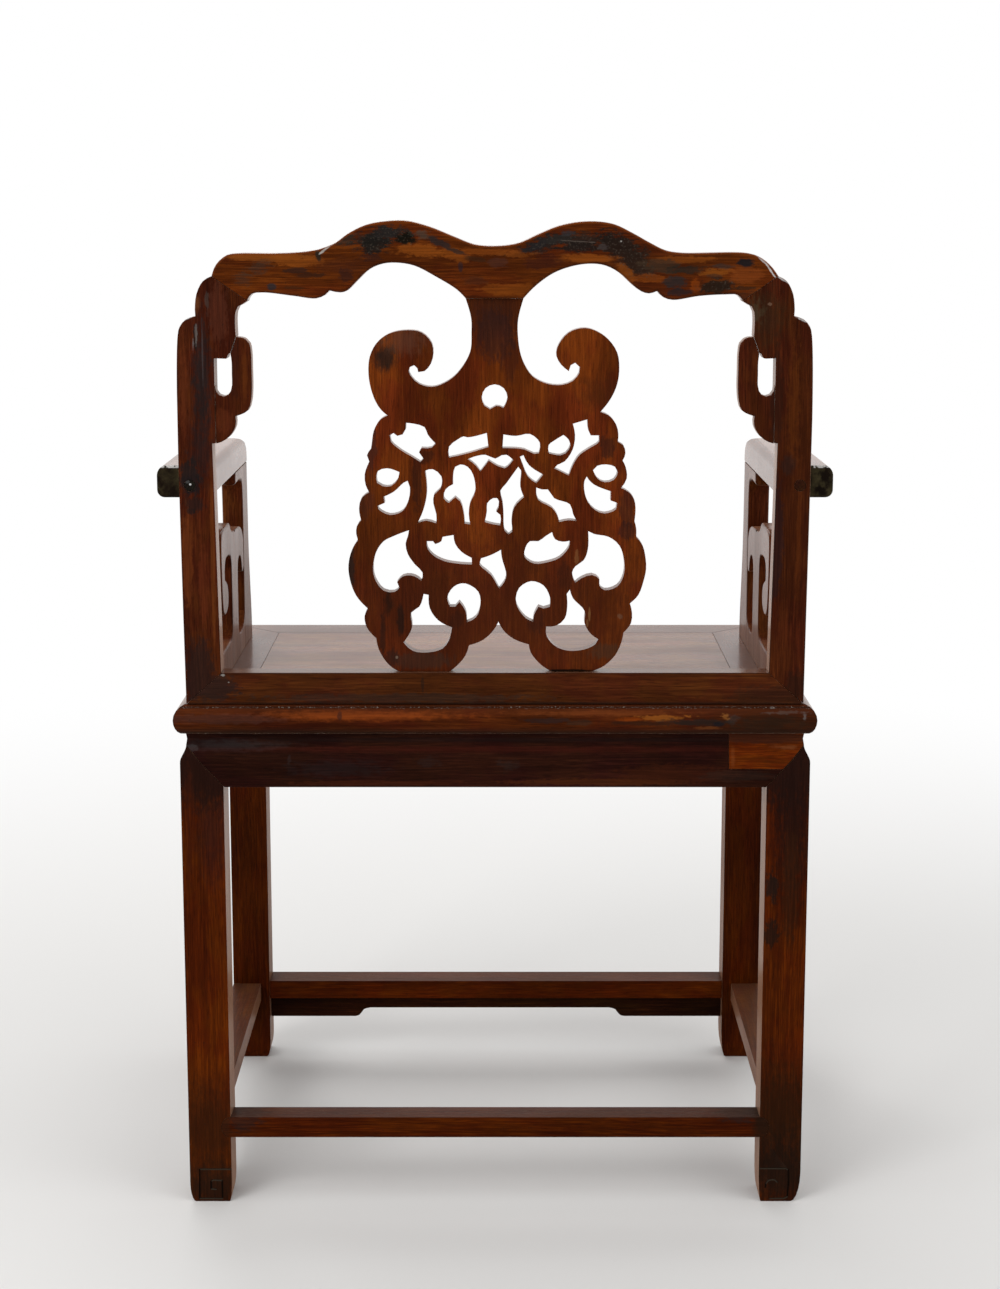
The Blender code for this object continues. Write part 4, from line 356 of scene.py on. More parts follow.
def rosewood(name, grain, tone, depth=1.0, gloss=0.30, waviness=0.020, wear_and_highlight=0.5, lines=0.35,
             blotches=0.22, stains=(), rotten=(), edge_grime_and_shade=0.6, pores=0.4, rims=1.0, rims_fade=None,
             upper=0.0, under=0.0, black_ends=None, dust=None, warmth=0.5, glance=0.0):
    """Lacquered rosewood of an average tone.

    depth strengthens the figure. stains and rotten hold (centre, reach, lean, ragged, strength,
    softness, colour), and the rotten ones are pitted as well. rims is the gloss at a glancing
    angle, and rims_fade the (low, high, share) heights between which it grows from a share to all.
    upper is how far the faces that look up are lightened, a painted highlight, and under how far
    those that look down are darkened, painted shade. black_ends is the Y behind which an end is
    black, and dust the Y of a dusty seam. glance is how far faces that are seen nearly edge on turn
    tan, a painted reflection of the lacquer.
    """
    finish = bpy.data.materials.new(name)
    finish.use_nodes = True
    tree = finish.node_tree
    shader = tree.nodes["Principled BSDF"]
    place = node(tree, "TexCoord").outputs["Object"]
    turned = node(tree, "Mapping", {"Vector": place, "Rotation": GRAIN_TURNS[grain]}).outputs[0]
    edge, carved, joint_shade = (node(tree, "Attribute", attribute_name=mark).outputs["Fac"]
                            for mark in ("edge", "carved", "joint_shade"))
    up = axis(tree, node(tree, "NewGeometry").outputs["Normal"], 2)
    figure = use_group(tree, GRAIN, {"Place": turned, "Waviness": waviness})
    age = use_group(tree, AGE, {"Place": turned})

    colour = wood_colour(tree, figure, age, tone, depth, lines, pores, blotches, warmth)
    colour, rot = stained(tree, colour, place, turned, stains, rotten)
    streaks = ramp(tree, figure["Fibres"], 0.36, 0.66, 0.88, 1.16)
    streaks = node(tree, "CombineXYZ", {0: streaks, 1: streaks, 2: streaks}).outputs[0]
    colour = vector_maths(tree, "MULTIPLY", colour, streaks)
    colour = blend(tree, times(tree, age["Specks"], 0.5), colour, GRIME_AND_SHADE)
    # painted highlight: faces that look up are lighter
    if upper:
        top_highlight = times(tree, ramp(tree, up, 0.15, 0.80),
                         ramp(tree, age["Blotches"], 0.0, 1.0, 0.6, 1.0), upper)
        colour = blend(tree, top_highlight, colour, tinted(tone, TOP_HIGHLIGHT_SHARES))
    # painted shade: faces that look down are darker
    if under:
        colour = blend(tree, ramp(tree, up, -0.20, -0.80, 0.0, under), colour, GRIME_AND_SHADE)
    # wear on rounded edges, stronger where they face up, which adds a painted highlight
    edge_wear_and_highlight = times(tree, maths(tree, "MULTIPLY", edge, age["Rubbed"], clamp=True), wear_and_highlight)
    if black_ends:
        end = ramp(tree, axis(tree, place, 1), black_ends - 0.0006, black_ends + 0.0002)
        colour = blackened(tree, colour, place, age, end)
        edge_wear_and_highlight = times(tree, edge_wear_and_highlight, maths(tree, "SUBTRACT", 1.0, end))
    colour = blend(tree, edge_wear_and_highlight, colour, tinted(tone, WEAR_AND_HIGHLIGHT_SHARES))
    # edges that face down darker as painted shade, and seams darker with grime
    colour = blend(tree, maths(tree, "MULTIPLY", edge, -edge_grime_and_shade, clamp=True), colour, GRIME_AND_SHADE)
    # painted shade on the faces inside the joints
    colour = blend(tree, joint_shade, colour, GRIME_AND_SHADE)
    # painted highlight on groove sides that look up or outwards, painted shade on the others
    colour = blend(tree, maths(tree, "MULTIPLY", carved, 0.85, clamp=True), colour, CARVED_HIGHLIGHT)
    colour = blend(tree, maths(tree, "MULTIPLY", carved, -0.85, clamp=True), colour, CARVED_SHADE)
    if dust:
        colour = dusty(tree, colour, place, dust)
    facing = node(tree, "LayerWeight", {"Blend": 0.5}).outputs["Facing"]
    # painted reflection: faces seen nearly edge on turn tan
    if glance:
        tan = times(tree, ramp(tree, facing, 0.62, 0.95, 0.0, glance),
                    maths(tree, "SUBTRACT", 1.0, joint_shade, clamp=True))
        colour = blend(tree, tan, colour, GLANCE_REFLECTION_TAN)

    rough = ramp(tree, age["Blotches"], 0.0, 1.0, gloss + 0.06, gloss - 0.04)
    rough = maths(tree, "MULTIPLY_ADD", figure["Fibres"], 0.08, rough)
    height = maths(tree, "MULTIPLY_ADD", figure["Fibres"], 0.14,
                   times(tree, age["Rubbed"], 0.16))
    height = maths(tree, "MULTIPLY_ADD", figure["Pores"], -0.25, height)
    if rot is not None:
        rough = maths(tree, "MULTIPLY_ADD", rot, 0.08, rough)
        pits = times(tree, rot, noise(tree, place, PIT_SCALE, 4.0, 0.65))
        height = maths(tree, "MULTIPLY_ADD", pits, -1.5, height)
    bump = node(tree, "Bump", {"Height": height, "Strength": BUMP_STRENGTH,
                               "Distance": BUMP_DEPTH})

    coat = ramp(tree, facing, 0.45, 0.95, 0.0, 0.9 * rims)
    if rims_fade:
        low, high, share = rims_fade
        coat = times(tree, coat, ramp(tree, axis(tree, place, 2), low, high, share, 1.0))
    covered = maths(tree, "MAXIMUM", joint_shade, times(tree, edge, -1.3))
    coat = maths(tree, "MULTIPLY", coat, maths(tree, "SUBTRACT", 1.0, covered, clamp=True),
                 clamp=True)
    feed(tree, shader, {
        "Base Color": colour, "Roughness": rough, "Normal": bump.outputs[0], "Coat Weight": coat,
        "Coat Roughness": COAT_ROUGHNESS, "Specular IOR Level": SPECULAR_LEVEL,
        "Sheen Weight": SHEEN_WEIGHT, "Sheen Roughness": SHEEN_ROUGHNESS,
        "Sheen Tint": SHEEN_TINT})
    return finish


STAIN_DEPTH = 0.030


def marks(face, *rows):
    """Stains, painted highlights and painted shade on the chair's back, on a face of it. A row
    holds a mark's place across and up and its half width and half height, all in millimetres, its
    lean in degrees, which tips its -X end up, and its raggedness, strength, softness and colour. A
    tenth value is a face of its own."""
    made = []
    for across, up, half_across, half_up, lean, ragged, strength, soft, tint, *own in rows:
        centre = (across / 1000, own[0] if own else face, up / 1000)
        reach = (half_across / 1000, STAIN_DEPTH, half_up / 1000)
        made.append((centre, reach, math.radians(lean), ragged, strength, soft, tint))
    return tuple(made)


SOOT = (0.0085, 0.0070, 0.0060)
BROWN_SHADE = (0.030, 0.0120, 0.0050)
PURPLE_SHADE = (0.020, 0.0075, 0.0060)
DEEP_SHADE = (0.0160, 0.0060, 0.0030)
ORANGE_GLOW = (0.185, 0.046, 0.0050)
PALE_DUST_AND_HIGHLIGHT = (0.36, 0.34, 0.31)
CORNER_LIGHT = (0.55, 0.54, 0.53)
EDGE_HIGHLIGHT = (0.50, 0.49, 0.48)

# Columns: across, up, half across, half up, lean, raggedness, strength, softness, colour, face
CREST_ROT = marks(
    BACK_FACE,
    (114, 934, 22, 9, 12, 1.8, 0.9, 0.7, (0.015, 0.011, 0.0085)),
    (94, 940, 20, 6.5, -6, 1.8, 0.9, 0.6, (0.014, 0.0115, 0.01)),
    (111, 930, 16, 9.5, 10, 1.6, 0.94, 0.5, (0.0085, 0.0074, 0.0062)),
    (82, 935, 11, 6.5, -8, 1, 0.97, 0.5, (0.004, 0.0036, 0.002)),
    (-50, 932, 28, 7.5, 16, 1.7, 0.94, 0.6, (0.013, 0.01, 0.0084)),
    (-80, 933, 26, 8.5, -3, 1.7, 0.88, 0.6, (0.015, 0.011, 0.0085)),
    (-76, 928, 24, 5.5, 0, 1.6, 0.95, 0.5, SOOT),
    (-112, 928, 22, 13, -22, 1.6, 0.97, 0.5, (0.008, 0.007, 0.0058)),
    (-128, 914, 16, 15, -40, 1.3, 0.97, 0.5, (0.009, 0.0082, 0.0065)),
    (-138, 905, 12, 7, -20, 1.5, 0.85, 0.5, (0.015, 0.012, 0.009)),
    (-203, 892, 19, 7, 4, 1.6, 0.95, 0.5, (0.008, 0.0076, 0.0055)),
)
CREST_STAINS_AND_HIGHLIGHTS = marks(
    BACK_FACE,
    (-150, 905, 120, 46, 0, 0.6, 0.34, 1, (0.033, 0.0085, 0.0022)),
    (0, 905, 60, 40, 0, 0.6, 0.2, 1, (0.04, 0.0085, 0.0014)),
    # bright wood between the stains
    (205, 918, 50, 3.5, 0, 1, 0.75, 0.5, (0.2, 0.052, 0.0065)),
    (180, 914, 24, 5, 0, 1.6, 0.65, 0.5, ORANGE_GLOW),
    (68, 924, 24, 6, -4, 1.4, 0.75, 0.5, ORANGE_GLOW),
    (38, 921, 16, 6, -16, 1.4, 0.6, 0.5, ORANGE_GLOW),
    (8, 923, 34, 3.5, 0, 1.6, 0.55, 0.5, (0.18, 0.042, 0.005)),
    (-20, 921, 16, 3, 0, 2.4, 0.45, 0.5, (0.2, 0.052, 0.007)),
    (-14, 889, 30, 6, 0, 1.4, 0.45, 0.5, ORANGE_GLOW),
    (-84, 917, 28, 4.5, 0, 1.2, 0.8, 0.5, ORANGE_GLOW),
    (-120, 903, 7, 12, 40, 1.2, 0.7, 0.5, ORANGE_GLOW),
    (-143, 899, 18, 4.5, 0, 1.4, 0.65, 0.5, (0.17, 0.038, 0.004)),
    (-172, 916, 30, 3.5, 0, 1.6, 0.6, 0.5, ORANGE_GLOW),
    (-204, 905, 18, 3.5, 0, 2.4, 0.6, 0.5, (0.2, 0.055, 0.006)),
    (-184, 893, 5, 7, 0, 1.6, 0.6, 0.5, (0.19, 0.036, 0.003)),
    (-230, 902, 18, 8, 0, 1.2, 0.65, 0.5, (0.16, 0.036, 0.006)),
    # browned and sooty places
    (140, 910, 34, 10, 0, 1.4, 0.5, 1, (0.05, 0.012, 0.0042)),
    (217, 909, 14, 7, 22, 2.2, 0.5, 0.9, (0.034, 0.024, 0.016)),
    (232, 898, 7, 10, 50, 2.2, 0.38, 0.9, (0.034, 0.024, 0.016)),
    (205, 891.5, 4.6, 3.2, 0, 0.8, 0.9, 0.5, (0.022, 0.018, 0.019)),
    (182, 906, 12, 2.6, 0, 1.6, 0.8, 0.5, (0.026, 0.01, 0.006)),
    (171, 902, 14, 2.6, 0, 1.6, 0.7, 0.5, (0.026, 0.01, 0.005)),
    (184, 890.5, 9, 1.8, 0, 1.6, 0.65, 0.5, (0.034, 0.012, 0.004)),
    (137, 934, 11, 4, 14, 1.6, 0.75, 0.5, (0.026, 0.018, 0.012)),
    (100, 941, 13, 6, -4, 1.6, 0.9, 0.5, (0.014, 0.0115, 0.0105)),
    (113, 918, 11, 4, 0, 1.6, 0.6, 0.5, PURPLE_SHADE),
    (137, 902, 7, 6, 0, 1.6, 0.6, 0.5, PURPLE_SHADE),
    (66, 938, 10, 5, -12, 2.2, 0.65, 0.8, (0.048, 0.038, 0.027)),
    (50, 931, 13, 3.6, -26, 1.6, 0.88, 0.5, (0.02, 0.0135, 0.012)),
    (34, 923, 10, 2.2, -18, 1.6, 0.85, 0.5, (0.026, 0.015, 0.011)),
    (18, 916.5, 11, 2.4, -6, 1.6, 0.6, 0.5, BROWN_SHADE),
    (31.5, 909, 2.4, 5, 0, 0.8, 0.75, 0.5, (0.018, 0.01, 0.011)),
    (-3, 914, 9, 5, 0, 1.6, 0.45, 0.5, (0.05, 0.02, 0.014)),
    (18, 897, 12, 4, 0, 1.6, 0.4, 0.5, (0.036, 0.013, 0.007)),
    (-45, 914, 19, 7, 4, 1.6, 0.6, 0.5, (0.034, 0.0075, 0.004)),
    (-38, 928.5, 16, 3.8, 24, 1.6, 0.94, 0.5, (0.015, 0.0125, 0.013)),
    (-57, 934.5, 14, 4, 10, 1.6, 0.9, 0.5, (0.018, 0.015, 0.013)),
    (-66, 940, 8, 2.6, 0, 1.6, 0.7, 0.5, (0.03, 0.025, 0.026)),
    (-99, 928, 5, 3, 0, 1.6, 0.6, 0.5, (0.05, 0.038, 0.036)),
    (-79, 932.3, 20, 0.6, -3, 2.2, 0.5, 0.5, (0.11, 0.085, 0.07)),
    (-152, 910, 20, 7, -6, 1.6, 0.75, 0.5, (0.034, 0.02, 0.011)),
    (-176, 907, 18, 4, 0, 1.6, 0.8, 0.5, (0.018, 0.013, 0.009)),
    (-165, 896, 11, 6, 0, 1.6, 0.85, 0.5, (0.02, 0.016, 0.015)),
    (-168, 886.5, 14, 3, 0, 1.6, 0.8, 0.5, (0.018, 0.012, 0.012)),
    (-230, 913, 8.5, 4, 0, 1, 0.95, 0.5, (0.0085, 0.008, 0.009)),
    (-209, 910, 10, 2.4, 0, 1.6, 0.6, 0.5, (0.03, 0.022, 0.017)),
    (-201, 901, 8, 1.8, 0, 1.6, 0.65, 0.5, (0.026, 0.014, 0.009)),
    (-228, 890, 12, 2, 0, 1.6, 0.7, 0.5, BROWN_SHADE),
    (-240, 882, 16, 8, 0, 1.6, 0.5, 0.5, (0.042, 0.018, 0.008)),
    # a nick in the top edge, painted on: a dark mark and, beside it, two pale marks as its painted
    # highlight
    (162, 920, 2.6, 6, 15, 0.6, 0.92, 0.5, (0.016, 0.012, 0.008)),
    (156, 925, 7, 1.2, 40, 1.2, 0.8, 0.5, PALE_DUST_AND_HIGHLIGHT),
    (149, 930, 6, 1, 34, 1.2, 0.7, 0.5, PALE_DUST_AND_HIGHLIGHT),
    # light caught on the outer corners
    (257, 911, 7, 1, 62, 1.6, 0.7, 0.5, CORNER_LIGHT),
    (248.5, 919.5, 7, 0.9, 35, 1.6, 0.7, 0.5, CORNER_LIGHT),
    (-244.5, 916, 9, 0.9, -40, 1.6, 0.7, 0.5, CORNER_LIGHT),
    (-253, 906, 8, 0.9, -55, 1.6, 0.7, 0.5, CORNER_LIGHT),
    (-115.5, 932.5, 1, 0.8, 0, 0.4, 0.6, 0.5, PALE_DUST_AND_HIGHLIGHT),
)
POST_STAINS_AND_HIGHLIGHTS = marks(
    BACK_FACE,
    (-280, 690, 60, 190, 0, 0.6, 0.5, 1, (0.026, 0.0055, 0.0014)),
    # the left post, from its head down
    (275, 876, 4, 10, 0, 1.2, 0.6, 0.8, (0.15, 0.048, 0.015)),
    (255, 868, 10, 30, 0, 1.4, 0.45, 0.5, (0.08, 0.022, 0.011)),
    (265, 880, 2, 7, 0, 2.2, 0.45, 0.5, (0.052, 0.043, 0.036)),
    (288, 800, 6, 58, 0, 1.2, 0.6, 0.9, (0.1, 0.0215, 0.006)),
    (271, 806, 11, 66, 0, 1.4, 0.88, 0.95, (0.014, 0.0095, 0.009)),
    (273, 742, 14, 38, 0, 1.4, 0.7, 0.95, (0.0165, 0.008, 0.007)),
    (270, 830, 0.8, 34, 0, 0.9, 0.55, 0.5, (0.045, 0.037, 0.037)),
    (276.5, 846, 1.4, 16, 0, 1.6, 0.7, 0.5, SOOT),
    # painted highlights along the rims of both post heads
    (280, 887, 1.2, 9, -20, 1.6, 0.7, 0.5, EDGE_HIGHLIGHT),
    (271, 898.5, 8, 1, 30, 1.6, 0.7, 0.5, EDGE_HIGHLIGHT),
    (295, 855, 5, 1.8, 55, 0.9, 0.75, 0.5, (0.6, 0.59, 0.58)),
    (285, 862, 6, 1.3, 18, 1, 0.65, 0.5, CORNER_LIGHT),
    (-264, 898, 9, 0.9, -30, 1.6, 0.7, 0.5, EDGE_HIGHLIGHT),
    (-275, 886, 1.1, 9, 18, 1.6, 0.65, 0.5, EDGE_HIGHLIGHT),
    (-284, 861, 7, 1.3, -22, 1, 0.65, 0.5, CORNER_LIGHT),
    # pale lines painted as highlights beside the dark line where the head's outline meets the lobe
    (275.5, 850, 1, 10, 0, 2.2, 0.65, 0.5, (0.13, 0.11, 0.1)),
    (278.5, 838, 0.8, 8, 0, 2.2, 0.55, 0.5, (0.11, 0.095, 0.09)),
    (284, 716, 10, 18, 0, 1.6, 0.85, 0.5, (0.012, 0.0085, 0.008)),
    (281, 690, 9, 8, 0, 2.2, 0.7, 0.5, (0.013, 0.008, 0.007)),
    (288, 640, 5.5, 48, 0, 1.2, 0.6, 0.5, (0.105, 0.024, 0.0055)),
    (274, 614, 5, 40, 0, 1.2, 0.45, 0.5, (0.092, 0.018, 0.0055)),
    (264.5, 640, 2.2, 90, 0, 0.6, 0.55, 0.5, (0.12, 0.031, 0.006)),
    (279, 528, 15, 38, 0, 1.2, 0.75, 0.5, (0.0165, 0.008, 0.0065)),
    # its bracket
    (231.5, 812, 3.2, 34, 0, 1, 0.55, 0.9, (0.12, 0.028, 0.005)),
    (241, 818, 5, 30, 0, 1.2, 0.45, 0.5, (0.03, 0.0075, 0.004)),
    (252, 768, 9, 13, 0, 1.2, 0.5, 0.5, (0.09, 0.019, 0.006)),
    # the right post
    (-251, 864, 22, 34, 0, 1.4, 0.55, 1, (0.028, 0.0135, 0.0055)),
    (-240, 869, 9, 12, 0, 2.2, 0.6, 1, (0.052, 0.034, 0.017)),
    (-253, 875.5, 2.4, 1.6, 0, 1.2, 0.6, 0.5, (0.15, 0.085, 0.055)),
    (-277, 782, 8, 70, 0, 1.4, 0.6, 1, (0.085, 0.02, 0.003)),
    (-284, 660, 4, 84, 0, 1.2, 0.5, 1, (0.078, 0.018, 0.003)),
    (-261, 790, 6, 52, 0, 1.2, 0.65, 0.5, (0.022, 0.0062, 0.003)),
    (-263, 655, 8, 62, 0, 1.2, 0.75, 0.5, (0.0185, 0.0068, 0.0062)),
    (-272, 560, 10, 40, 0, 1.4, 0.4, 1, (0.07, 0.015, 0.0035)),
    (-284, 516, 9, 18, 0, 1.2, 0.65, 0.5, DEEP_SHADE),
    (-273, 727, 7, 10, 0, 1.4, 0.5, 0.5, (0.018, 0.01, 0.008)),
)
# The middle of the left peg, in millimetres
PEG_LOW, PEG_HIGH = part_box("arm_peg_left")
PEG_ACROSS, PEG_UP = 500 * (PEG_LOW.x + PEG_HIGH.x), 500 * (PEG_LOW.z + PEG_HIGH.z)
POST_STAINS_AND_HIGHLIGHTS += marks(
    BACK_FACE,
    (PEG_ACROSS, PEG_UP + 1, 11, 11, 0, 1, 0.8, 0.7, (0.01, 0.007, 0.007)),
    (PEG_ACROSS - 1, PEG_UP - 24, 4, 3, 0, 1.6, 0.7, 0.5, (0.01, 0.007, 0.0065)),
)
# a white glint painted as a highlight in the middle of the left peg, and a grey mark beside it
PEG_STAIN_AND_GLINT = marks(
    BACK_FACE,
    (PEG_ACROSS - 0.5, PEG_UP + 1, 1.1, 1.1, 0, 0.6, 0.95, 0.5, (0.55, 0.55, 0.54)),
    (PEG_ACROSS + 2.5, PEG_UP + 3.4, 2.4, 1.2, 0, 1.6, 0.5, 0.5, (0.08, 0.08, 0.082)),
)
SPLAT_STAINS = marks(
    SPLAT_FACE,
    (0, 868, 40, 34, 0, 0.5, 0.8, 1, (0.03, 0.008, 0.0036)),
    (0, 848, 20, 26, 0, 1, 0.6, 0.5, (0.019, 0.0075, 0.0065)),
    (-14, 826, 10, 24, 0, 1.2, 0.4, 0.5, (0.024, 0.0075, 0.005)),
    (0, 580, 260, 110, 0, 0.5, 0.78, 1, (0.042, 0.0088, 0.0028)),
    (102, 827, 14, 16, 0, 0.9, 0.88, 0.8, (0.012, 0.008, 0.0056)),
    (84, 842, 28, 16, 0, 1.2, 0.55, 1, (0.082, 0.033, 0.0185)),
    (117, 745, 7, 28, 0, 1.2, 0.6, 0.5, (0.03, 0.012, 0.0085)),
    (121, 693, 9, 16, 0, 1.2, 0.45, 0.5, (0.044, 0.014, 0.0075)),
    (73, 712, 5, 30, 0, 1, 0.7, 0.5, (0.024, 0.0065, 0.003)),
    (65, 735, 8, 8, 0, 1.2, 0.65, 0.5, (0.022, 0.0065, 0.003)),
    (138, 630, 7, 24, 0, 1, 0.85, 0.5, (0.015, 0.0095, 0.0075)),
    (101, 598, 5.5, 14, 0, 1.4, 0.7, 0.9, (0.012, 0.0056, 0.0032)),
    (106, 566, 3, 22, 0, 1, 0.65, 0.5, (0.013, 0.006, 0.004)),
    (89, 580, 4, 15, 0, 1, 0.75, 0.5, (0.012, 0.006, 0.004)),
    (70, 541, 32, 9, 0, 1.2, 0.6, 0.5, (0.034, 0.0155, 0.0095)),
    (99, 543, 9, 10, 0, 1.6, 0.55, 0.5, (0.017, 0.008, 0.006)),
    (93, 544, 1.2, 1.4, 0, 1, 0.6, 0.5, (0.16, 0.11, 0.08)),
    (36, 580, 8, 9, 0, 1, 0.55, 0.5, (0.028, 0.0075, 0.0035)),
    (-101, 792, 30, 22, 0, 1.2, 0.55, 1, (0.042, 0.0105, 0.0028)),
    (-105, 744, 7, 12, 0, 1.4, 0.65, 0.5, (0.024, 0.008, 0.0045)),
    (-124, 688, 8, 20, 0, 1.2, 0.6, 0.5, (0.034, 0.01, 0.0062)),
    (-124, 665, 8, 10, 0, 1.2, 0.6, 0.5, (0.024, 0.008, 0.0062)),
    (-66, 622, 8, 14, 0, 1, 0.5, 0.5, (0.03, 0.008, 0.0035)),
    (-38, 580, 9, 14, 0, 1, 0.55, 0.5, (0.03, 0.008, 0.0045)),
    (-103, 550, 16, 8, 0, 1.4, 0.5, 0.5, (0.046, 0.023, 0.012)),
    (-70, 531.2, 24, 1.5, 0, 0.4, 0.92, 0.5, (0.003, 0.002, 0.001)),
    (-89, 585, 1, 6, 0, 1.4, 0.6, 0.5, (0.19, 0.085, 0.03)),
    (-87, 577, 1, 4, 0, 1.4, 0.5, 0.5, (0.17, 0.08, 0.03)),
    (-77, 640, 2, 7, 0, 1.8, 0.45, 0.5, (0.18, 0.075, 0.026)),
    (-118, 583, 2.4, 3, 0, 1.6, 0.3, 0.5, (0.13, 0.085, 0.055)),
)
NOSE_STAINS = marks(
    NOSE_FACE,
    (-262, 486, 120, 30, 0, 0.6, 0.72, 1, (0.026, 0.007, 0.0022)),
    (130, 490, 125, 6, 0, 1, 0.78, 1, (0.2, 0.04, 0.006)),
    (-95, 492.5, 100, 3, 0, 1.2, 0.55, 1, (0.175, 0.042, 0.009)),
    (255, 487, 64, 5, 0, 1.2, 0.55, 0.5, (0.056, 0.02, 0.0135)),
    (-50, 485.5, 22, 2.6, 0, 1.4, 0.8, 0.5, (0.024, 0.011, 0.0085)),
    (-80, 483.5, 14, 3, 0, 1.6, 0.6, 0.5, (0.03, 0.015, 0.0085)),
    (-150, 483, 50, 2.4, 0, 1.6, 0.6, 0.5, (0.026, 0.01, 0.005)),
    (-158, 488, 24, 2.8, 0, 2.4, 0.65, 0.5, (0.24, 0.072, 0.01)),
    (-128, 487, 14, 2.2, 0, 1.2, 0.7, 0.5, (0.17, 0.03, 0.0025)),
    (-192, 484, 34, 3.6, 0, 1.6, 0.8, 0.5, (0.017, 0.0105, 0.008)),
    (-211, 482, 6, 2.4, 0, 1, 0.85, 0.5, (0.008, 0.0075, 0.0095)),
    (-201, 478, 12, 1.8, 0, 1.6, 0.55, 0.5, (0.17, 0.05, 0.012)),
    (-226, 487.5, 8, 5.5, 0, 2.6, 0.3, 0.9, (0.06, 0.05, 0.046)),
    (-218, 489, 4, 3, 0, 2.2, 0.6, 0.5, (0.24, 0.09, 0.02)),
    (-262, 483, 48, 10, 0, 1.4, 0.7, 1, (0.019, 0.0095, 0.005)),
    (-276, 493, 18, 1.4, 0, 3, 0.25, 0.5, (0.11, 0.1, 0.09)),
    (-262, 497, 3, 1, 0, 1.6, 0.55, 0.5, (0.4, 0.4, 0.38), 0.23),
    (-293, 489, 2, 4, 0, 2, 0.2, 0.9, (0.3, 0.29, 0.28)),
    (147, 489.5, 2.2, 5, 0, 1.2, 0.65, 0.5, (0.02, 0.01, 0.0085)),
)
RAIL_STAINS = marks(
    BACK_FACE,
    (0, 500.5, 400, 2.6, 0, 0.4, 0.75, 1, GRIME_AND_SHADE),
    (268, 516, 26, 15, 0, 1.4, 0.75, 0.5, (0.0165, 0.0095, 0.008)),
    (90, 506, 140, 4.4, 0, 1.6, 0.55, 0.5, (0.026, 0.015, 0.01)),
    (-262, 506, 40, 13, 0, 1.6, 0.45, 0.5, (0.02, 0.009, 0.005)),
    (68.5, 519, 1.6, 9, 0, 1, 0.6, 0.5, (0.015, 0.008, 0.005)),
    (257, 528, 1.4, 1, 0, 3, 0.5, 0.5, PALE_DUST_AND_HIGHLIGHT),
    (252, 521, 0.9, 0.7, 0, 2, 0.5, 0.5, PALE_DUST_AND_HIGHLIGHT),
)
APRON_STAINS_SHADE_AND_SHEEN = marks(
    BACK_FACE,
    # a lighter band along the rounded shoulder, a painted highlight, and a dark line in the cove
    # under the seat's nose, painted shade
    (0, 455, 420, 4, 0, 0.8, 0.6, 1, (0.043, 0.0066, 0.0034), 0.2215),
    (0, 464, 420, 3, 0, 0.5, 0.55, 1, (0.0105, 0.0055, 0.0048), 0.216),
    (-100, 424, 90, 3.6, 0, 1.2, 0.65, 0.5, (0.056, 0.0145, 0.0036)),
    (110, 423, 90, 2.8, 0, 1.2, 0.5, 0.5, (0.048, 0.011, 0.004)),
    # grey smudges painted as the sheen of the lacquer
    (250, 459, 66, 7, 0, 1, 0.45, 1.1, (0.03, 0.026, 0.026), 0.2185),
    (288, 456, 5, 3.4, 0, 3, 0.12, 0.5, (0.13, 0.13, 0.13), 0.22),
    (150, 437, 60, 10, 0, 1.6, 0.3, 0.9, (0.015, 0.013, 0.013)),
    (196, 446, 1.6, 4, 0, 2.4, 0.12, 0.5, (0.05, 0.046, 0.046)),
    (64, 443, 12, 6, 0, 2.2, 0.2, 0.9, (0.022, 0.02, 0.02)),
    (-12, 440, 11, 7, 0, 2.2, 0.25, 0.9, (0.022, 0.02, 0.018)),
    (-172, 432, 60, 10, 0, 1.2, 0.6, 0.5, (0.036, 0.0078, 0.0026)),
    (-230, 430, 34, 6, 0, 1.4, 0.45, 0.5, (0.02, 0.0105, 0.0075)),
)
PATCH_STAINS_AND_SHADE = marks(
    PATCH_FACE,
    # the top of the patch, in the cove under the seat's nose, darker as painted shade
    (-255, 466, 60, 6, 0, 0.6, 0.8, 0.5, (0.036, 0.0105, 0.005), 0.217),
    (-244, 448, 22, 2.2, 0, 1.4, 0.45, 0.5, (0.06, 0.013, 0.0006)),
    (-270, 444, 16, 2, 0, 1.4, 0.5, 0.5, (0.05, 0.011, 0.0006)),
    (-226.5, 448, 2.6, 12, 0, 0.6, 0.3, 0.9, (0.2, 0.055, 0.014)),
    (-278, 457, 14, 2.4, 0, 1.6, 0.3, 0.9, (0.22, 0.08, 0.03), 0.22),
)
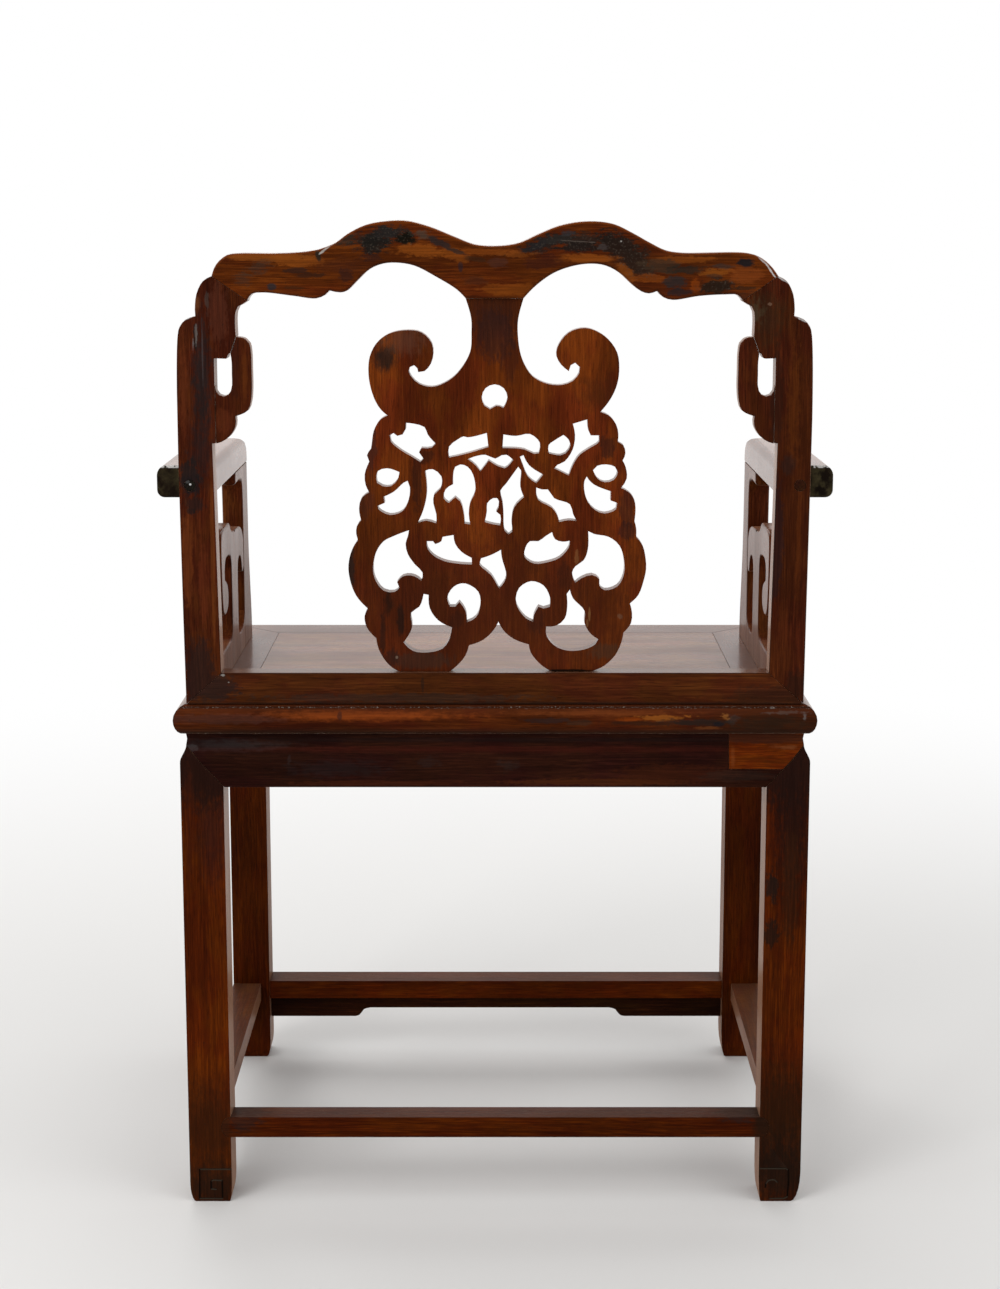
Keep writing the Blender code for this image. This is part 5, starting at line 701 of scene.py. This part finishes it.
LEG_STAINS = marks(
    BACK_FACE,
    (270, 380, 20, 76, 0, 0.9, 0.7, 1, (0.02, 0.0058, 0.004)),
    (275, 455, 70, 64, 0, 0.7, 0.95, 0.6, (0.013, 0.0042, 0.0027)),
    (292, 380, 5, 60, 0, 1, 0.4, 0.5, (0.045, 0.0075, 0.002)),
    (280, 76, 60, 66, 0, 0.8, 0.85, 1, (0.027, 0.0072, 0.0018)),
    (280, 14, 60, 34, 0, 0.6, 0.85, 1, (0.0118, 0.0058, 0.003)),
    (-285, 388, 24, 110, 0, 1, 0.88, 1, (0.0115, 0.0038, 0.0026)),
    (-275, 455, 70, 64, 0, 0.7, 0.9, 0.6, (0.0125, 0.0042, 0.0028)),
    (-266, 322, 6, 14, 0, 1.8, 0.85, 0.5, (0.011, 0.0062, 0.0044)),
    (-266, 274, 8, 13, 0, 1.8, 0.8, 0.5, (0.0115, 0.006, 0.0036)),
    (-284, 320, 9, 60, 0, 1, 0.6, 0.5, (0.026, 0.0075, 0.0022)),
    (-280, 90, 60, 76, 0, 0.8, 0.95, 1, (0.021, 0.0062, 0.0018)),
    (-280, 30, 60, 56, 0, 0.6, 0.88, 1, (0.0095, 0.005, 0.003)),
)
STRETCHER_STAINS = marks(
    STRETCHER_FACE,
    (246, 84, 22, 14, 0, 1.4, 0.6, 0.5, (0.014, 0.0085, 0.0075)),
    (268, 78, 12, 26, 0, 0.6, 0.75, 0.5, (0.028, 0.0085, 0.003)),
    (-240, 88, 26, 8, 0, 1.4, 0.6, 0.5, (0.014, 0.01, 0.009)),
    (-266, 78, 18, 26, 0, 0.6, 0.88, 0.5, (0.014, 0.006, 0.0028)),
)

FINISHES = {
    "crest": rosewood("crest_rosewood", "across", (0.079, 0.0142, 0.0017), depth=1.1,
                      stains=CREST_STAINS_AND_HIGHLIGHTS, rotten=CREST_ROT, wear_and_highlight=0.7, upper=0.55, rims=0.9),
    "post": rosewood("post_rosewood", "upright", (0.054, 0.0100, 0.0026), stains=POST_STAINS_AND_HIGHLIGHTS,
                     rims=0.40, upper=0.3, glance=0.55),
    "splat": rosewood("splat_rosewood", "upright", (0.104, 0.0178, 0.0026), depth=0.5,
                      stains=SPLAT_STAINS, waviness=0.012, wear_and_highlight=0.5, lines=0.20, rims=0.62,
                      blotches=0.38, warmth=0.6),
    "rail": rosewood("back_rail_rosewood", "across", (0.048, 0.0105, 0.0026), stains=RAIL_STAINS,
                     rims=0.8),
    "seat_across": rosewood("seat_frame_rosewood", "across", (0.049, 0.0086, 0.0017), gloss=0.26,
                            stains=NOSE_STAINS, rims=0.7, upper=0.35, under=0.85, dust=BACK_FACE),
    "seat_deep": rosewood("seat_end_rosewood", "deep", (0.060, 0.0120, 0.0030), gloss=0.26,
                          rims=0.7, upper=0.35, under=0.85),
    "panel": rosewood("seat_panel_rosewood", "across", (0.180, 0.0640, 0.0260), gloss=0.26,
                      rims=0.66, waviness=0.050),
    "apron_across": rosewood("apron_rosewood", "across", (0.0185, 0.0040, 0.0022),
                             stains=APRON_STAINS_SHADE_AND_SHEEN, wear_and_highlight=0.3, rims=0.4),
    "apron_deep": rosewood("side_apron_rosewood", "deep", (0.0185, 0.0040, 0.0022), wear_and_highlight=0.3,
                           rims=0.4),
    "leg": rosewood("leg_rosewood", "upright", (0.066, 0.0100, 0.0004), stains=LEG_STAINS,
                    wear_and_highlight=0.45, rims=0.16, rims_fade=(0.18, 0.28, 0.10), glance=0.55),
    "front_leg": rosewood("front_leg_rosewood", "upright", (0.045, 0.0072, 0.0006), wear_and_highlight=0.45,
                          rims=0.04, glance=0.30),
    "stretcher_across": rosewood("stretcher_rosewood", "across", (0.060, 0.0092, 0.0004),
                                 stains=STRETCHER_STAINS, rims=0.12),
    "stretcher_deep": rosewood("side_stretcher_rosewood", "deep", (0.060, 0.0125, 0.0026),
                               rims=0.05, glance=0.20),
    "skirt_across": rosewood("stretcher_board_rosewood", "across", (0.022, 0.0058, 0.0014),
                             rims=0.2),
    "arm": rosewood("arm_rosewood", "deep", (0.088, 0.0225, 0.0080), gloss=0.26, rims=0.9,
                    black_ends=ARM_END),
    "fret": rosewood("fret_rosewood", "upright", (0.080, 0.0178, 0.0048), gloss=0.28, rims=0.46,
                     rims_fade=(0.53, 0.68, 0.28)),
    "repair": rosewood("repair_wood_redder", "across", (0.106, 0.0160, 0.0009), depth=1.3,
                       lines=0.6, blotches=0.15, stains=PATCH_STAINS_AND_SHADE, rims=0.5),
    "plug": rosewood("plug_wood_black", "deep", (0.0085, 0.0060, 0.0055), gloss=0.40,
                     stains=PEG_STAIN_AND_GLINT, rims=0.3),
    "pale_plug": rosewood("plug_wood_brown", "deep", (0.036, 0.0100, 0.0036), gloss=0.40,
                          rims=0.3),
}


# Dressing the pieces

def surface_trees():
    """A search tree over each node's surface, to tell seams from free edges, and its box."""
    trees = {}
    for name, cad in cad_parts.items():
        points = [vertex.co for vertex in cad.data.vertices]
        faces = [face.vertices for face in cad.data.polygons]
        trees[name] = (BVHTree.FromPolygons(points, faces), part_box(name))
    return trees


TREES = surface_trees()


def near_other_piece(name, point):
    for other, (tree, (low, high)) in TREES.items():
        outside = any(point[i] < low[i] - SEAM_REACH or point[i] > high[i] + SEAM_REACH
                      for i in range(3))
        if other == name or outside:
            continue
        if tree.find_nearest(point, SEAM_REACH)[0] is not None:
            return True
    return False


def only(piece):
    """Make the piece the one selected, active object."""
    bpy.ops.object.select_all(action="DESELECT")
    piece.select_set(True)
    bpy.context.view_layer.objects.active = piece


def apply_all(piece):
    only(piece)
    for modifier in list(piece.modifiers):
        bpy.ops.object.modifier_apply(modifier=modifier.name)


def weld(piece):
    """Join the loose triangles of a copied node and clear the lines across its flat faces."""
    only(piece)
    bpy.ops.object.mode_set(mode="EDIT")
    bpy.ops.mesh.select_all(action="SELECT")
    bpy.ops.mesh.remove_doubles(threshold=WELD)
    bpy.ops.mesh.dissolve_limited(angle_limit=FLAT)
    bpy.ops.mesh.select_all(action="DESELECT")
    bpy.ops.object.mode_set(mode="OBJECT")


def weigh_edges(piece, name, rounding, wall_share):
    """Give free outer edges the full rounding, seams a hairline, and inner corners none. Edges
    between the walls of an opening get wall_share of the rounding."""
    mesh = piece.data
    bm = bmesh.new()
    bm.from_mesh(mesh)
    bm.edges.ensure_lookup_table()
    weights = [0.0] * len(bm.edges)
    for edge in bm.edges:
        faces = edge.link_faces
        if len(faces) != 2 or edge.calc_face_angle(0.0) < SHARP or not edge.is_convex:
            continue
        middle = (edge.verts[0].co + edge.verts[1].co) / 2
        if near_other_piece(name, middle):
            weights[edge.index] = min(SEAM_ROUNDING / rounding, 1.0)
        elif all(abs(face.normal.y) < WALL_FACE for face in faces):
            weights[edge.index] = wall_share
        else:
            weights[edge.index] = 1.0
    bm.free()
    attribute = mesh.attributes.new("bevel_weight_edge", "FLOAT", "EDGE")
    attribute.data.foreach_set("value", weights)


def mark_edges(piece, name, bias):
    """Store the rounded edges in edge: near 1 where they face up, lighter with wear and a painted
    highlight, and below 0 where they face down, darker as painted shade, or run along a seam and
    get grime."""
    mesh = piece.data
    flat = set()
    for face in mesh.polygons:
        if face.material_index == 0:
            flat.update(face.vertices)
    values = []
    for vertex in mesh.vertices:
        if vertex.index in flat:
            values.append(0.0)
        elif near_other_piece(name, vertex.co):
            values.append(SEAM_GRIME)
        else:
            values.append(max(-1.0, min(1.0, bias + EDGE_SLOPE * vertex.normal.z)))
    attribute = mesh.attributes.new("edge", "FLOAT", "POINT")
    attribute.data.foreach_set("value", values)


def mark_joint_shade(piece, name):
    """Store the upright faces inside the joints in hidden, which paints them dark as shade and
    takes their gloss.
    """
    mesh = piece.data
    touches = [None] * len(mesh.vertices)
    shares = [0.0] * len(mesh.loops)
    for face in mesh.polygons:
        level = abs(face.normal.z) > LEVEL_FACE
        if face.material_index or level or not near_other_piece(name, face.center):
            continue
        for corner in face.vertices:
            if touches[corner] is None:
                touches[corner] = near_other_piece(name, mesh.vertices[corner].co)
        if all(touches[corner] for corner in face.vertices):
            for corner in face.loop_indices:
                shares[corner] = 1.0
    attribute = mesh.attributes.new("joint_shade", "FLOAT", "CORNER")
    attribute.data.foreach_set("value", shares)


def mark_carving(piece, face_level):
    """Store the sloping sides of the cut grooves in carved: 1 where they look up or outwards, for a
    painted highlight, and -1 elsewhere, for painted shade."""
    mesh = piece.data
    values = [0.0] * len(mesh.loops)
    for face in mesh.polygons:
        depth = abs(face_level) - abs(face.center.y)
        sloping = 0.5 < abs(face.normal.y) < 0.85
        if sloping and 0.0001 < depth < CARVING_DEPTH and face.center.z < CARVING_TOP:
            bright = face.normal.z > 0.3 or face.normal.x * face.center.x < -0.3
            for corner in face.loop_indices:
                values[corner] = 1.0 if bright else -1.0
    attribute = mesh.attributes.new("carved", "FLOAT", "CORNER")
    attribute.data.foreach_set("value", values)


def square_foot(piece, face_level):
    """Bring the foot's broad face straight down to the floor, as far as the leg's face."""
    for vertex in piece.data.vertices:
        near_face = vertex.co.y * face_level > 0 and \
            abs(vertex.co.y) > abs(face_level) - FOOT_INSET
        if vertex.co.z < FOOT_TOP and near_face:
            vertex.co.y = face_level


def groove_bar(start, end, width):
    """A bar between two points of the chair's back or front, turned on edge to cut a V."""
    start, end = Vector(start), Vector(end)
    along = end - start
    bpy.ops.object.select_all(action="DESELECT")
    bpy.ops.mesh.primitive_cube_add(size=1.0, location=(start + end) / 2)
    bar = bpy.context.object
    bar.rotation_euler = (math.radians(45), -math.atan2(along.z, along.x), 0.0)
    bar.scale = (along.length + width / 2, width, width)
    return bar


def carve(piece, grooves):
    """Cut V-shaped grooves, given as (start, end, width), into a piece."""
    bars = [groove_bar(*groove) for groove in grooves]
    for bar in bars:
        bar.select_set(True)
    bpy.context.view_layer.objects.active = bars[0]
    bpy.ops.object.join()
    cutter = bpy.context.object
    cut = piece.modifiers.new("carving", "BOOLEAN")
    cut.operation = "DIFFERENCE"
    cut.solver = "EXACT"
    cut.use_self = True
    cut.object = cutter
    apply_all(piece)
    bpy.data.objects.remove(cutter, do_unlink=True)


def dressed(name, finish, rounding, wall_share=1.0, grooves=(), bias=0.25,
            carved_face=None):
    """A copy of a CAD node with rounded edges and its finish, which then stands for the node."""
    piece = bpy.data.objects.new(name + "_worn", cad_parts[name].data.copy())
    bpy.context.scene.collection.objects.link(piece)
    weld(piece)
    if carved_face:
        square_foot(piece, carved_face)
    if grooves:
        carve(piece, grooves)
        weld(piece)
    weigh_edges(piece, name, rounding, wall_share)
    mesh = piece.data
    mesh.materials.clear()
    # the second copy of the finish tells the rounded edges from the flat faces
    mesh.materials.append(FINISHES[finish])
    mesh.materials.append(FINISHES[finish])
    mesh.polygons.foreach_set("material_index", [0] * len(mesh.polygons))
    bevel = piece.modifiers.new("rounded_edges", "BEVEL")
    bevel.limit_method = "WEIGHT"
    bevel.width = rounding
    bevel.segments = 2
    bevel.material = 1
    bevel.use_clamp_overlap = True
    apply_all(piece)
    mark_edges(piece, name, bias)
    mark_joint_shade(piece, name)
    mesh.polygons.foreach_set("material_index", [0] * len(mesh.polygons))
    mesh.materials.pop(index=1)
    if carved_face:
        mark_carving(piece, carved_face)
    only(piece)
    bpy.ops.object.shade_smooth_by_angle(angle=SMOOTH)
    smooth = piece.modifiers.new("flat_faces", "WEIGHTED_NORMAL")
    smooth.keep_sharp = True
    apply_all(piece)
    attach(piece, "root")
    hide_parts(name)


# The carved square spirals on the feet: lines of (across, up) points, in millimetres from the
# foot's outer lower corner
LEFT_SPIRAL = (
    ((41.5, 33.4), (9.6, 33.4), (9.2, 3.0), (31.6, 2.8), (31.6, 21.6), (22.4, 22.2), (20.6, 20.8)),
    ((20.6, 20.8), (20.6, 13.0), (25.5, 12.6)),
)
RIGHT_SPIRAL = (
    ((41.5, 34.2), (14.0, 34.2), (12.0, 32.6), (11.6, 20.0), (12.4, 5.0), (16.0, 3.0),
     (30.0, 2.8)),
    ((34.2, 14.0), (34.0, 18.0), (32.0, 21.4), (28.6, 22.6), (24.6, 22.2), (22.2, 19.8)),
)


def foot_grooves(leg, side, end):
    low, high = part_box(leg)
    outer = high.x if side > 0 else low.x
    face = high.y if end > 0 else low.y
    grooves = []
    for line in LEFT_SPIRAL if side > 0 else RIGHT_SPIRAL:
        points = [(outer - side * across / 1000, face, up / 1000) for across, up in line]
        grooves += [(start, stop, CARVED_WIDTH) for start, stop in zip(points, points[1:])]
    return grooves


# The saw line where the two halves of the splat touch, on its back and on its front
SPLAT_KERF = [((-0.0009, y, 0.577), (-0.0006, y, 0.611), 0.0010)
              for y in (SPLAT_FACE, SPLAT_FRONT)]

for leg, side, end in (("leg_rear_left", 1, 1), ("leg_rear_right", -1, 1),
                       ("leg_front_left", 1, -1), ("leg_front_right", -1, -1)):
    dressed(leg, "leg" if end > 0 else "front_leg", rounding=0.0012,
            grooves=foot_grooves(leg, side, end), carved_face=end * BACK_FACE)
for place in ("rear", "front"):
    dressed("apron_" + place, "apron_across", rounding=0.0010)
    dressed("stretcher_" + place, "stretcher_across", rounding=0.0020)
    dressed("seat_frame_" + place, "seat_across", rounding=0.0008)
for place, peg_finish in (("left", "plug"), ("right", "pale_plug")):
    dressed("apron_" + place, "apron_deep", rounding=0.0010)
    dressed("stretcher_" + place, "stretcher_deep", rounding=0.0020)
    dressed("seat_frame_" + place, "seat_deep", rounding=0.0008)
    dressed("stretcher_apron_" + place, "stretcher_deep", rounding=0.0008)
    dressed("seat_batten_" + place, "seat_deep", rounding=0.0010)
    dressed("back_post_" + place, "post", rounding=0.0022)
    dressed("post_bracket_" + place, "post", rounding=0.0014)
    dressed("arm_rail_" + place, "arm", rounding=0.0015)
    dressed("arm_front_post_" + place, "fret", rounding=0.0030)
    dressed("arm_fret_rear_" + place, "fret", rounding=0.0022)
    dressed("arm_fret_front_" + place, "fret", rounding=0.0022)
    dressed("arm_peg_" + place, peg_finish, rounding=0.0003)
dressed("stretcher_apron_front", "skirt_across", rounding=0.0008)
dressed("waist_repair_patch", "repair", rounding=0.0003)
dressed("seat_panel", "panel", rounding=0.0006)
dressed("back_bottom_rail", "rail", rounding=0.0012)
dressed("crest_rail", "crest", rounding=0.0026)
dressed("splat", "splat", rounding=0.0011, wall_share=0.35, grooves=SPLAT_KERF, bias=-0.35)


# Floor, light and camera
FLOOR_WIDTH = 160.0
FLOOR_PAINT = (0.82, 0.81, 0.795, 1.0)
FLOOR_ROUGHNESS = 0.7
FLOOR_SPECULAR = 0.2
FADE_START = 0.60
FADE_END = 2.40
WHITE = (1.0, 1.0, 1.0, 1.0)
UNSEEN_LIGHT = 0.75
CAMERA_PLACE = (-0.0047, 2.4455, 0.963)
CAMERA_TILT = math.radians(79.66)
CAMERA_TURN = math.radians(180)
CAMERA_LENS = 66.9
CAMERA_SENSOR = 36.0


def seen_or_mirrored(tree):
    """1 for rays from the camera, in a reflection or through glass, otherwise 0."""
    path = node(tree, "LightPath").outputs
    seen = maths(tree, "MAXIMUM", path["Is Camera Ray"], path["Is Transmission Ray"])
    return maths(tree, "MAXIMUM", seen, path["Is Glossy Ray"])


def pale_floor():
    """A pale floor that holds the chair's shadow and fades to white away from it."""
    bpy.ops.object.select_all(action="DESELECT")
    bpy.ops.mesh.primitive_plane_add(size=FLOOR_WIDTH, location=(0, 0, 0))
    floor = bpy.context.object
    floor.name = "pale_floor"
    paper = bpy.data.materials.new("pale_floor_paint")
    paper.use_nodes = True
    tree = paper.node_tree
    shader = tree.nodes["Principled BSDF"]
    feed(tree, shader, {"Base Color": FLOOR_PAINT, "Roughness": FLOOR_ROUGHNESS,
                        "Specular IOR Level": FLOOR_SPECULAR})
    away = vector_maths(tree, "LENGTH", node(tree, "TexCoord").outputs["Object"])
    fade = times(tree, ramp(tree, away, FADE_START, FADE_END), seen_or_mirrored(tree))
    white = node(tree, "Emission", {"Color": WHITE, "Strength": 1.0})
    both = node(tree, "MixShader", {0: fade, 1: shader.outputs[0], 2: white.outputs[0]})
    tree.links.new(both.outputs[0], tree.nodes["Material Output"].inputs["Surface"])
    floor.data.materials.append(paper)


def soft_world():
    """White for the camera and for reflections, and a plain soft light for everything else."""
    world = bpy.data.worlds.new("studio")
    world.use_nodes = True
    tree = world.node_tree
    strength = node(tree, "MapRange", {0: seen_or_mirrored(tree), 1: 0.0, 2: 1.0,
                                       3: UNSEEN_LIGHT, 4: 1.0}).outputs[0]
    feed(tree, tree.nodes["Background"], {"Color": WHITE, "Strength": strength})
    bpy.context.scene.world = world


def softbox(name, place, target, width, height, power):
    lamp = bpy.data.lights.new(name, "AREA")
    lamp.shape = "RECTANGLE"
    lamp.size = width
    lamp.size_y = height
    lamp.energy = power
    holder = bpy.data.objects.new(name, lamp)
    holder.location = place
    aim = Vector(target) - Vector(place)
    holder.rotation_euler = aim.to_track_quat("-Z", "Y").to_euler()
    bpy.context.scene.collection.objects.link(holder)


pale_floor()
soft_world()
softbox("key_softbox", (2.1, 2.6, 2.3), target=(0, 0, 0.6), width=1.6, height=1.6, power=40)
softbox("fill_softbox", (-2.4, 1.8, 1.8), target=(0, 0, 0.6), width=1.8, height=1.8, power=12)
softbox("front_softbox", (0.6, -2.6, 2.6), target=(0, 0, 0.5), width=2.0, height=1.6, power=24)

view = bpy.data.cameras.new("photo_camera")
view.lens = CAMERA_LENS
view.sensor_width = CAMERA_SENSOR
view.sensor_fit = "AUTO"
camera = bpy.data.objects.new("photo_camera", view)
camera.location = CAMERA_PLACE
camera.rotation_euler = (CAMERA_TILT, 0.0, CAMERA_TURN)
bpy.context.scene.collection.objects.link(camera)
bpy.context.scene.camera = camera
bpy.context.scene.view_settings.view_transform = "Standard"
